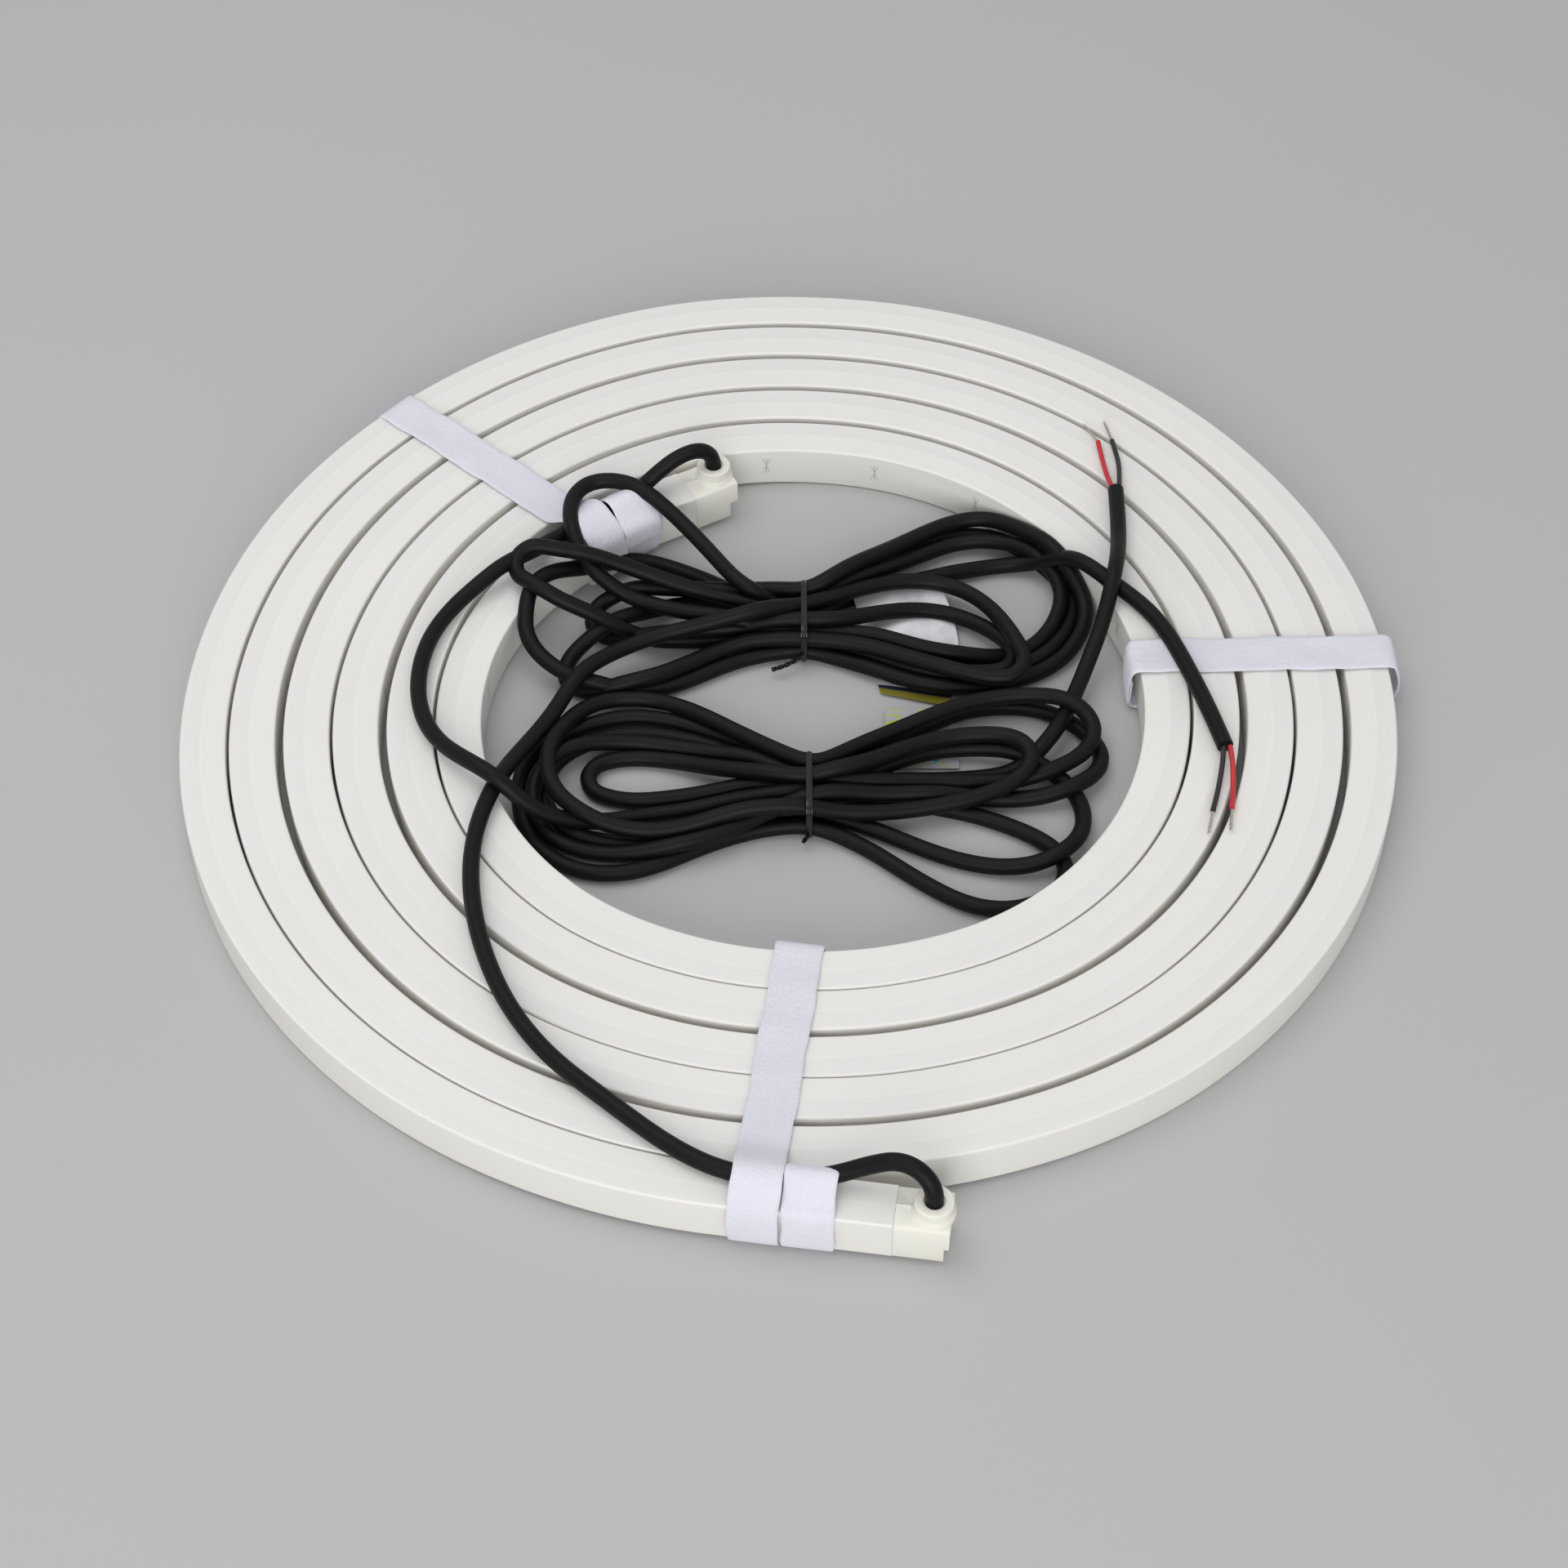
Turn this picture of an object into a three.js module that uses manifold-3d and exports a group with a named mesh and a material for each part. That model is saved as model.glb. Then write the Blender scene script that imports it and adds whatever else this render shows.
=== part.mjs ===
// A 5 m reel of silicone neon flex, coiled flat and held by hook-and-loop straps, with a feed cable at each end.
// Millimetres, +Z up. The coil lies flat, with the middle of its hole near the origin and its light side outwards.
import * as THREE from 'three';
import { mergeVertices } from 'three/addons/utils/BufferGeometryUtils.js';
import Module from 'manifold-3d';

const wasm = await Module();
wasm.setup();

const fitGap = 0.3; // between pieces that touch

// the flex and its winding
const flexWidth = 14.4;
const flexHeight = 15;
const flexCorner = 1.3;
const ridgeWidth = 1.1; // the line where the clear front meets the white base
const ridgeHeight = 0.3;
const ridgeOffset = 0.5; // outwards from the middle of the section
const holeRadius = 96.8; // from the middle to the first turn's inner face
const turnGap = 1.82; // mean air gap between two turns
const gapLean = 0.45; // the turns sit closer at the front than at the back
const gapSway = 0.35; // the front gaps are narrow and wide by turns
const strapPinch = 0.9; // three straps draw the coil in a little
const pinchAngle = 25;
const innerTuck = 2.6; // the first turn's end springs inwards
const tuckFrom = 30;
const tuckTo = 72;
const countingAngle = 100; // degrees from +X where the sweep of the winding is counted from
const sweepStart = 19.5;
const turnStep = 7.5; // degrees between two sections, a whole share of a turn
const turnSteps = 259;
const innerStraight = 13.4; // flex beyond the winding, at each end
const outerStraight = 52;

// end caps
const capLength = 15.8;
const capNoseFloor = 6.6; // the upper part of the end stands out above this height
const innerNose = 2.8;
const outerNose = 1.4;
const bossWall = 2.5;
const bossHeight = 4.8;
const bossFromNose = 5.2; // from the nose to the middle of the boss
const bossFlare = 0.7;
const boreDepth = 0.9;
const boreSlack = 0.45;

// straps
const strapWidth = 15;
const shortStrapWidth = 13.6;
const strapThickness = 0.8;
const humpReach = 15; // how far along a long strap the bulge over a cable runs out
const shortHumpReach = 9.4;
const rightSlack = 2.6; // the loose strap stands off the coil by this much
const liftRamp = 24; // degrees in which the coil sinks from a strap to the floor

// feed cables
const cableDiameter = 5.3;
const cableSides = 10;
const cableStep = 12.5;
const coreDiameter = 1.7;
const wireDiameter = 1;
const coreSides = 8;
const hankHeight = 13;
const hankEdge = 3;
const tieWidth = 3.4;
const tieThickness = 1;
const tieSlack = 0.5;
const tieHalfWidth = 12.5; // inside
const labelThickness = 0.35;

const degrees = Math.PI / 180;
const turnPitch = flexWidth + turnGap;
const strapCorner = flexCorner + fitGap;
const strapLift = strapThickness + fitGap;
const coilTop = strapLift + flexHeight + ridgeHeight;
const bossDiameter = cableDiameter + 2 * (boreSlack + bossWall);
const hankFloor = tieThickness + tieSlack;
const hankTop = hankFloor + hankHeight;
const labelFloor = hankFloor - fitGap - labelThickness;

const { smoothstep, euclideanModulo } = THREE.MathUtils;

// materials
const finish = (color, roughness, metalness = 0) => new THREE.MeshStandardMaterial({ color, roughness, metalness });
const silicone = finish(0xe9e7e2, 0.55);
const capSilicone = finish(0xdedccf, 0.5);
const strapFabric = finish(0xdadae6, 0.9);
const blackJacket = finish(0x1c1b1b, 0.55);
const redInsulation = finish(0xc01820, 0.4);
const blackInsulation = finish(0x141414, 0.45);
const tinnedCopper = finish(0xb4b4b2, 0.35, 1);
const tiePlastic = finish(0x101010, 0.25);
const labelFoil = finish(0xd2d4d6, 0.35);
const clearFilm = finish(0xc8cccb, 0.2);

const coil = new THREE.Group(); // the flex, its caps and straps
const feeds = new THREE.Group(); // the cables and what is on them
const reel = new THREE.Group();
reel.add(coil, feeds);

function addPiece(parent, name, geometry, material) {
  const mesh = new THREE.Mesh(geometry, material);
  mesh.name = name;
  parent.add(mesh);
  return mesh;
}

// solids joined and cut
function toSolid(geometry) {
  const plain = geometry.clone();
  plain.deleteAttribute('normal');
  plain.deleteAttribute('uv');
  const merged = mergeVertices(plain, 1e-4);
  return new wasm.Manifold(new wasm.Mesh({
    numProp: 3,
    vertProperties: new Float32Array(merged.attributes.position.array),
    triVerts: new Uint32Array(merged.index.array),
  }));
}

function toGeometry(solid) {
  const mesh = solid.getMesh();
  const geometry = new THREE.BufferGeometry();
  geometry.setAttribute('position', new THREE.BufferAttribute(mesh.vertProperties, 3));
  geometry.setIndex(new THREE.BufferAttribute(mesh.triVerts, 1));
  geometry.computeVertexNormals();
  return geometry;
}

// a closed solid through rings of points that all follow one section, flat at both ends
function loft(rings, section) {
  const sides = section.length;
  const index = [];
  for (let ring = 0; ring + 1 < rings.length; ring += 1) {
    for (let side = 0; side < sides; side += 1) {
      const next = (side + 1) % sides;
      const a = ring * sides + side;
      const b = ring * sides + next;
      index.push(a, a + sides, b + sides, a, b + sides, b);
    }
  }
  const last = (rings.length - 1) * sides;
  for (const [a, b, c] of THREE.ShapeUtils.triangulateShape(section, [])) {
    index.push(a, b, c, last + a, last + c, last + b);
  }
  const geometry = new THREE.BufferGeometry();
  const positions = rings.flat().flatMap((point) => point.toArray());
  geometry.setAttribute('position', new THREE.Float32BufferAttribute(positions, 3));
  geometry.setIndex(index);
  geometry.computeVertexNormals();
  return geometry;
}

// the winding, seen from above
function turnRadius(sweep) {
  const angle = (countingAngle + sweep) * degrees;
  const spacing = turnPitch + gapLean * Math.sin(angle);
  const pinch = strapPinch * Math.cos(3 * (angle - pinchAngle * degrees));
  const sway = gapSway * Math.cos(((sweep - 165) / 2) * degrees);
  const tuck = innerTuck * (1 - smoothstep(sweep, tuckFrom, tuckTo));
  return holeRadius + flexWidth / 2 + (spacing * sweep) / 360 - pinch + sway - tuck;
}

// where the straps run under the coil, as plan angles and the half angle that each holds up
const underStraps = [
  { angle: 130, hold: 22 },
  { angle: 5.6, hold: 8 },
  { angle: 268, hold: 16 },
];

function liftAt(angle) {
  const shares = underStraps.map(({ angle: middle, hold }) => {
    const away = Math.abs(euclideanModulo(angle - middle + 180, 360) - 180);
    return 1 - smoothstep(away, hold, hold + liftRamp);
  });
  return strapLift * Math.max(...shares);
}

// stations along the flex: a place, the outward direction and the height of its underside
function station(point, outward, lift) {
  return { point, outward, lift };
}

function windingStation(step) {
  const sweep = sweepStart + step * turnStep;
  const angle = countingAngle + sweep;
  const outward = new THREE.Vector2(Math.cos(angle * degrees), Math.sin(angle * degrees));
  return station(outward.clone().multiplyScalar(turnRadius(sweep)), outward, liftAt(angle));
}

const winding = Array.from({ length: turnSteps + 1 }, (_, step) => windingStation(step));
const innerEnd = winding[0];
const outerEnd = winding[turnSteps];
const innerHeading = new THREE.Vector2(innerEnd.outward.y, -innerEnd.outward.x);
const outerHeading = new THREE.Vector2(-outerEnd.outward.y, outerEnd.outward.x);
const innerSeam = innerEnd.point.clone().addScaledVector(innerHeading, innerStraight);
const outerSeam = outerEnd.point.clone().addScaledVector(outerHeading, outerStraight);

// the section: x outwards, y up from the underside, with a fine ridge above and below
function cornerPoints(x, y, fromQuarter) {
  const middleX = x - Math.sign(x) * flexCorner;
  const middleY = y > flexHeight / 2 ? y - flexCorner : y + flexCorner;
  return [0, 0.5, 1].map((share) => {
    const angle = (fromQuarter + share) * (Math.PI / 2);
    return new THREE.Vector2(middleX + flexCorner * Math.cos(angle), middleY + flexCorner * Math.sin(angle));
  });
}

function ridgePoints(y, away) {
  return [-away, 0, away].map((side) => new THREE.Vector2(
    ridgeOffset + (side * ridgeWidth) / 2,
    side === 0 ? y - away * ridgeHeight : y,
  ));
}

const flexSection = [
  ...cornerPoints(flexWidth / 2, flexHeight, 0),
  ...ridgePoints(flexHeight, -1),
  ...cornerPoints(-flexWidth / 2, flexHeight, 1),
  ...cornerPoints(-flexWidth / 2, 0, 2),
  ...cornerPoints(flexWidth / 2, 0, 3),
];

function sectionAt({ point, outward, lift }) {
  return flexSection.map(({ x, y }) => new THREE.Vector3(point.x + outward.x * x, point.y + outward.y * x, lift + y));
}

function makeFlex() {
  const stations = [
    station(innerSeam, innerEnd.outward, strapLift),
    ...winding,
    station(outerSeam, outerEnd.outward, strapLift),
  ];
  return loft(stations.map(sectionAt), flexSection);
}

addPiece(coil, 'neon_flex', makeFlex(), silicone);

// an end cap in its own frame: x away from the flex, z up from its underside
function makeCap(nose) {
  const alongX = new THREE.Matrix4().makeBasis(
    new THREE.Vector3(0, 1, 0),
    new THREE.Vector3(0, 0, 1),
    new THREE.Vector3(1, 0, 0),
  );
  const body = new THREE.ExtrudeGeometry(new THREE.Shape(flexSection), { depth: capLength - nose, bevelEnabled: false });
  body.applyMatrix4(alongX);
  const upper = flexSection.map(({ x, y }) => new THREE.Vector2(x, Math.max(y, capNoseFloor)));
  const front = upper.filter((point, at) => at === 0 || !point.equals(upper[at - 1]));
  const noseBlock = new THREE.ExtrudeGeometry(new THREE.Shape(front), { depth: capLength, bevelEnabled: false });
  noseBlock.applyMatrix4(alongX);
  const radius = bossDiameter / 2;
  const root = flexHeight - flexCorner;
  const top = flexHeight + bossHeight;
  const bossProfile = [
    [0, root],
    [radius + bossFlare, root],
    [radius + bossFlare, flexHeight + bossFlare / 2],
    [radius, flexHeight + 2 * bossFlare],
    [radius, top - bossFlare / 2],
    [radius - bossFlare / 2, top],
    [0, top],
  ].map(([x, y]) => new THREE.Vector2(x, y));
  const boss = new THREE.LatheGeometry(bossProfile, 28).rotateX(Math.PI / 2);
  const boreRadius = cableDiameter / 2 + boreSlack;
  const bore = new THREE.CylinderGeometry(boreRadius, boreRadius, 2 * boreDepth, 20);
  bore.rotateX(Math.PI / 2).translate(0, 0, top);
  const bossX = capLength - bossFromNose;
  boss.translate(bossX, 0, 0);
  bore.translate(bossX, 0, 0);
  const solid = toSolid(body).add(toSolid(noseBlock)).add(toSolid(boss)).subtract(toSolid(bore));
  return toGeometry(solid);
}

function placeCap(name, seam, heading, nose) {
  const cap = addPiece(coil, name, makeCap(nose), capSilicone);
  const foot = seam.clone().addScaledVector(heading, fitGap);
  cap.position.set(foot.x, foot.y, strapLift);
  cap.rotation.z = heading.angle();
  const boss = foot.clone().addScaledVector(heading, capLength - bossFromNose);
  const bossTop = strapLift + flexHeight + bossHeight;
  return [
    [boss.x, boss.y, bossTop - boreDepth + fitGap],
    [boss.x, boss.y, bossTop + cableDiameter / 2],
  ];
}

const outerExit = placeCap('outer_end_cap', outerSeam, outerHeading, outerNose);
const innerExit = placeCap('inner_end_cap', innerSeam, innerHeading, innerNose);

// straps: a closed band in the upright plane of its heading, its clear inside traced first
function bandAround(inside, width) {
  const count = inside.length;
  const outside = inside.map((point, at) => {
    const before = inside[(at + count - 1) % count];
    const after = inside[(at + 1) % count];
    const along = after.clone().sub(before).normalize();
    return new THREE.Vector2(point.x + along.y * strapThickness, point.y - along.x * strapThickness);
  });
  const band = new THREE.Shape(outside);
  band.holes.push(new THREE.Path([...inside].reverse()));
  return new THREE.ExtrudeGeometry(band, { depth: width, bevelEnabled: false });
}

// inside outline, anticlockwise: s runs along the strap and z up; hump is the place of a cable under it
function strapInside(low, high, top, hump, reach) {
  const corner = (s, z, quarter) => [0, 1, 2, 3].map((share) => {
    const angle = (quarter + share / 3) * (Math.PI / 2);
    return new THREE.Vector2(s + strapCorner * Math.cos(angle), z + strapCorner * Math.sin(angle));
  });
  const rise = hump === undefined ? 0 : cableDiameter + 3 * fitGap;
  const topAt = (s) => {
    const away = hump === undefined ? 1 : Math.min(1, Math.abs(s - hump) / reach);
    return top + (rise * (1 + Math.cos(away * Math.PI))) / 2;
  };
  const humpPoints = [];
  if (hump !== undefined) {
    for (let share = 1; share >= -1; share -= 0.2) {
      const s = hump + share * reach;
      if (s < high - strapCorner - 0.5 && s > low + strapCorner + 0.5) {
        humpPoints.push(new THREE.Vector2(s, topAt(s)));
      }
    }
  }
  const raise = (points) => points.map((point) => {
    const share = Math.max(0, (point.y - (top - strapCorner)) / strapCorner);
    return new THREE.Vector2(point.x, point.y + share * (topAt(point.x) - top));
  });
  return [
    ...corner(low + strapCorner, strapLift - fitGap + strapCorner, 2),
    ...corner(high - strapCorner, strapLift - fitGap + strapCorner, 3),
    ...raise(corner(high - strapCorner, top - strapCorner, 0)),
    ...humpPoints,
    ...raise(corner(low + strapCorner, top - strapCorner, 1)),
  ];
}

// the least and greatest reach of some stations' inner and outer faces within a strap's width
function reachOf(stations, heading, offset, width) {
  const across = new THREE.Vector2(-heading.y, heading.x);
  let low = Infinity;
  let high = 0;
  for (let at = 0; at + 1 < stations.length; at += 1) {
    for (let share = 0; share < 1; share += 0.125) {
      for (const face of [-flexWidth / 2, flexWidth / 2]) {
        const [from, to] = [stations[at], stations[at + 1]].map(({ point, outward }) => (
          point.clone().addScaledVector(outward, face)
        ));
        const place = from.lerp(to, share);
        const reach = place.dot(heading);
        if (reach > 0 && Math.abs(place.dot(across) - offset) <= width / 2 + fitGap) {
          low = Math.min(low, reach);
          high = Math.max(high, reach);
        }
      }
    }
  }
  return { low, high };
}

function makeStrap(name, { width = strapWidth, headingAngle, offset, stations, hump, reach, slack = 0 }) {
  const heading = new THREE.Vector2(Math.cos(headingAngle * degrees), Math.sin(headingAngle * degrees));
  const { low, high } = reachOf(stations, heading, offset, width);
  const standOff = fitGap + slack;
  const inside = strapInside(low - standOff, high + standOff, coilTop + fitGap, hump, reach);
  const strap = bandAround(inside, width);
  const upright = new THREE.Matrix4().makeBasis(
    new THREE.Vector3(heading.x, heading.y, 0),
    new THREE.Vector3(0, 0, 1),
    new THREE.Vector3(heading.y, -heading.x, 0),
  );
  strap.translate(0, 0, -offset - width / 2);
  strap.applyMatrix4(upright);
  addPiece(coil, name, strap, strapFabric);
}

const firstTurn = winding.slice(0, 8);
const lastTurn = [outerEnd, station(outerSeam, outerEnd.outward, strapLift)];
const wholeCoil = [...winding, lastTurn[1]];

makeStrap('strap_left_long', {
  headingAngle: 138.6, offset: -9.1, stations: wholeCoil, hump: 102.6, reach: humpReach,
});
makeStrap('strap_left_short', {
  width: shortStrapWidth, headingAngle: 126, offset: -3.8, stations: firstTurn, hump: 102.3, reach: shortHumpReach,
});
makeStrap('strap_right', { headingAngle: 1.5, offset: 12.5, stations: wholeCoil, slack: rightSlack });
makeStrap('strap_front_long', {
  headingAngle: 261.8, offset: 13.9, stations: wholeCoil, hump: 186.4, reach: humpReach,
});
makeStrap('strap_front_short', {
  width: shortStrapWidth, headingAngle: 262.2, offset: 28.7, stations: lastTurn, hump: 185.7, reach: shortHumpReach,
});

// cables, cores and bare ends: a round section along a smooth route
function tube(points, diameter, sides, step) {
  const route = new THREE.CatmullRomCurve3(points.map((point) => new THREE.Vector3(...point)), false, 'centripetal');
  const section = Array.from({ length: sides }, (_, at) => {
    const angle = (at / sides) * 2 * Math.PI;
    return new THREE.Vector2(Math.cos(angle), Math.sin(angle)).multiplyScalar(diameter / 2);
  });
  const steps = Math.max(1, Math.round(route.getLength() / step));
  return new THREE.ExtrudeGeometry(new THREE.Shape(section), { steps, extrudePath: route });
}

const cable = (name, points) => addPiece(feeds, name, tube(points, cableDiameter, cableSides, cableStep), blackJacket);

// the outer cap's cable: up out of the boss, under two straps, round over the coil and on to its hank
cable('outer_feed_lead', [
  ...outerExit,
  [33.8, -194.6, 28.6],
  [28.6, -192.6, 30.6],
  [22.4, -190.8, 28.6],
  [16.6, -189.4, 22.8],
  [10.4, -188.5, 19.6],
  [-2, -187.6, 19.5],
  [-19, -186.2, 19.5],
  [-30.6, -181, 19.6],
  [-42.2, -172.7, 19.6],
  [-56.5, -160, 19.6],
  [-72, -146, 19.4],
  [-86.3, -125.3, 18.9],
  [-97.7, -95, 18.5],
  [-101.4, -66.4, 18.5],
  [-100.8, -52, 18.5],
  [-96.9, -39.4, 18.5],
  [-90.4, -27, 18.2],
  [-83.6, -15, 17.7],
  [-77.4, -4, 17.6],
  [-72, 7, 17.6],
]);

// the inner cap's cable: up out of the boss, under two straps, out over the coil and back on to its hank
cable('inner_feed_lead', [
  ...innerExit,
  [-30.8, 101, 28.4],
  [-35.8, 99, 29],
  [-40.4, 96.2, 27],
  [-45, 93.2, 21],
  [-50, 89.8, 19.6],
  [-59.6, 83, 19.5],
  [-70.6, 75, 19.5],
  [-82, 66.4, 19.5],
  [-96.5, 53.8, 19.5],
  [-109, 41, 19.3],
  [-117.6, 27, 18.8],
  [-121.6, 10, 18.5],
  [-120.6, -8, 18.5],
  [-116, -20, 19.4],
  [-109.6, -29, 22],
  [-103, -35.4, 24.4],
  [-96, -40.6, 24.6],
  [-89, -44.8, 22],
  [-82, -48.4, 18.6],
  [-74, -51.6, 17.6],
]);

// the two loops of the upper hank that lie up on the coil, over the other cable
cable('outer_feed_loop_tall', [
  [-30, 59, 17.6],
  [-35, 69, 20],
  [-41.4, 79, 24],
  [-48.6, 87.6, 27.4],
  [-57.4, 94, 28],
  [-67, 95.4, 27.4],
  [-74.6, 90, 27],
  [-77.6, 81.6, 27],
  [-76.8, 72, 27],
  [-72.8, 64, 26.4],
  [-67, 56, 20.4],
  [-60, 48, 17.6],
]);
cable('outer_feed_loop_left', [
  [-68, 46.6, 17.6],
  [-75.4, 52.4, 20],
  [-82.6, 58.4, 24.6],
  [-90, 63.4, 26.4],
  [-98, 64.4, 26],
  [-103.8, 60, 25.6],
  [-104.6, 52.6, 25.8],
  [-99, 46.6, 25.6],
  [-90.4, 42, 21.2],
  [-82, 38.4, 18],
  [-72, 33, 17.6],
]);

cable('outer_feed_tail', [
  [72, 68, 17.6],
  [80, 64.4, 18.2],
  [88.4, 59, 19],
  [97, 51, 19.2],
  [104.8, 43.2, 19.4],
  [111.4, 34.4, 19.8],
  [116.6, 23.6, 21],
  [121, 10.4, 21],
  [125, 0, 20.2],
  [128, -10, 19.6],
  [132, -25, 19.3],
]);

cable('inner_feed_tail', [
  [78, -8, 17.6],
  [85.6, 2, 17.8],
  [92, 13, 18.6],
  [97, 25, 21.4],
  [100.4, 36, 24.6],
  [102.8, 47, 25.2],
  [104.4, 58, 23],
  [105.2, 72, 19.2],
  [105.8, 91, 18.5],
]);

// each hank: its outer shape in plan, narrow where a twist tie draws it in
function makeHank(name, outline) {
  const edge = new THREE.CatmullRomCurve3(outline.map(([x, y]) => new THREE.Vector3(x, y, 0)), true);
  const shape = new THREE.Shape(edge.getPoints(44).slice(1).map(({ x, y }) => new THREE.Vector2(x, y)));
  const hank = new THREE.ExtrudeGeometry(shape, {
    depth: hankHeight - 2 * hankEdge,
    bevelThickness: hankEdge,
    bevelSize: hankEdge * 0.7,
    bevelOffset: -hankEdge * 0.7,
    bevelSegments: 2,
  });
  addPiece(feeds, name, hank.translate(0, 0, hankFloor + hankEdge), blackJacket);
}

const outerTie = { x: 1, y: 40 };
const innerTie = { x: 2.3, y: -35.6 };
const waist = tieHalfWidth - 2 * tieSlack;

makeHank('outer_feed_hank', [
  [outerTie.x, outerTie.y + waist],
  [22, 60], [42, 74], [62, 82], [78, 74], [88, 58], [91, 42], [86, 24], [70, 11], [50, 11.5], [26, 22],
  [outerTie.x, outerTie.y - waist],
  [-26, 21], [-48, 9.5], [-66, 5.5], [-79, 11], [-82.6, 27], [-77, 45], [-60, 57], [-36, 59],
]);
makeHank('inner_feed_hank', [
  [innerTie.x, innerTie.y + waist],
  [24, -14], [46, 0], [66, 4.5], [84, 1.5], [95, -10], [98, -28], [90, -49], [72, -62], [50, -62], [26, -52],
  [innerTie.x, innerTie.y - waist],
  [-24, -54], [-42, -65], [-62, -68], [-80, -58], [-89, -42], [-90, -26], [-80, -8], [-62, 1], [-40, -1], [-20, -13],
]);

// a twist tie: a flat wire band round the waist of a hank, its ends twisted together
function makeTie(name, { x, y }, tail) {
  const outline = (spread, corner) => {
    const half = tieHalfWidth + spread;
    const low = hankFloor - tieSlack - spread;
    const high = hankTop + tieSlack + spread;
    const shape = new THREE.Shape();
    shape.moveTo(-half + corner, low);
    shape.absarc(half - corner, low + corner, corner, -Math.PI / 2, 0);
    shape.absarc(half - corner, high - corner, corner, 0, Math.PI / 2);
    shape.absarc(-half + corner, high - corner, corner, Math.PI / 2, Math.PI);
    shape.absarc(-half + corner, low + corner, corner, Math.PI, Math.PI * 1.5);
    return shape.getPoints(3);
  };
  const band = new THREE.Shape(outline(tieThickness, hankEdge));
  band.holes.push(new THREE.Path(outline(0, hankEdge - tieThickness).reverse()));
  const ring = new THREE.ExtrudeGeometry(band, { depth: tieWidth, bevelEnabled: false });
  ring.translate(0, 0, -tieWidth / 2);
  ring.applyMatrix4(new THREE.Matrix4().makeBasis(
    new THREE.Vector3(0, 1, 0),
    new THREE.Vector3(0, 0, 1),
    new THREE.Vector3(1, 0, 0),
  ));
  const section = [[-1, -0.5], [1, -0.5], [1, 0.5], [-1, 0.5]].map(([u, v]) => new THREE.Vector2(u, v));
  const half = new THREE.Vector2(tail.width / 2, tieThickness);
  const along = new THREE.Vector3(...tail.direction).normalize();
  const side = new THREE.Vector3(0, 0, 1).cross(along).normalize();
  const up = along.clone().cross(side);
  const rings = Array.from({ length: 11 }, (_, step) => {
    const turn = (step / 10) * tail.turns * 2 * Math.PI;
    const middle = new THREE.Vector3(...tail.start).addScaledVector(along, (step / 10) * tail.length);
    return section.map(({ x: u, y: v }) => {
      const flat = u * half.x * Math.cos(turn) - v * half.y * Math.sin(turn);
      const tall = u * half.x * Math.sin(turn) + v * half.y * Math.cos(turn);
      return middle.clone().addScaledVector(side, -flat).addScaledVector(up, tall);
    });
  });
  const twist = toSolid(loft(rings, section));
  const tie = addPiece(feeds, name, toGeometry(toSolid(ring).add(twist)), tiePlastic);
  tie.position.set(x, y, 0);
}

const tieFront = -tieHalfWidth - tieThickness;
makeTie('twist_tie_upper', outerTie, {
  start: [0, tieFront, 6], direction: [-0.75, -0.6, -0.1], length: 12, width: 2.4, turns: 1.5,
});
makeTie('twist_tie_lower', innerTie, {
  start: [0, tieFront, 5], direction: [-0.3, -0.9, -0.1], length: 5, width: 2.4, turns: 0.5,
});

// stripped ends: two insulated cores out of each jacket, with bare tinned wire at their tips
const core = (name, points, material) => addPiece(feeds, name, tube(points, coreDiameter, coreSides, 5), material);
const wire = (name, points) => addPiece(feeds, name, tube(points, wireDiameter, 6, 5), tinnedCopper);

core('outer_feed_core_black', [[131.2, -25.9, 19.3], [130.4, -32, 18.4], [128.2, -42, 17], [126, -50, 16.8]], blackInsulation);
core('outer_feed_core_red', [[133.3, -25.4, 19.3], [133.6, -32, 18.4], [133, -41, 17], [132, -49, 16.8]], redInsulation);
wire('outer_feed_wire_black', [[125.9, -50.4, 16.8], [124, -58.6, 16.6]]);
wire('outer_feed_wire_red', [[131.95, -49.4, 16.8], [130.8, -57.4, 16.6]]);
core('inner_feed_core_red', [[104.8, 91.4, 18.5], [103.6, 98, 17.6], [102.6, 107, 16.5], [101.6, 117, 16.5]], redInsulation);
core('inner_feed_core_black', [[106.9, 91.4, 18.5], [107.5, 98, 17.6], [107.8, 107, 16.5], [106.4, 117.6, 16.5]], blackInsulation);
wire('inner_feed_wire_red', [[101.5, 117.4, 16.5], [97.4, 125.8, 16.3]]);
wire('inner_feed_wire_black', [[106.3, 118, 16.5], [104.4, 127.2, 16.3]]);

// a bare foil label on a strand of the upper hank, and a clear film tag below it
function makeSheet(name, width, length, x, y, turn, material) {
  const shape = new THREE.Shape();
  const corner = 1.5;
  shape.moveTo(-width / 2 + corner, -length / 2);
  shape.absarc(width / 2 - corner, -length / 2 + corner, corner, -Math.PI / 2, 0);
  shape.absarc(width / 2 - corner, length / 2 - corner, corner, 0, Math.PI / 2);
  shape.absarc(-width / 2 + corner, length / 2 - corner, corner, Math.PI / 2, Math.PI);
  shape.absarc(-width / 2 + corner, -length / 2 + corner, corner, Math.PI, Math.PI * 1.5);
  const sheet = new THREE.ExtrudeGeometry(shape, { depth: labelThickness, bevelEnabled: false, curveSegments: 3 });
  const mesh = addPiece(feeds, name, sheet, material);
  mesh.position.set(x, y, labelFloor);
  mesh.rotation.z = turn * degrees;
}

makeSheet('cable_label', 26, 50, 37, 38, 16, labelFoil);
makeSheet('clear_tag', 24, 26, 38.4, -5.6, 0, clearFilm);

// stand the reel on the origin: the middle of the flex, caps and straps, without the cables
const coilBox = new THREE.Box3().setFromObject(coil, true);
const middle = coilBox.getCenter(new THREE.Vector3());
reel.position.set(-middle.x, -middle.y, -coilBox.min.z);

export default reel;
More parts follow.
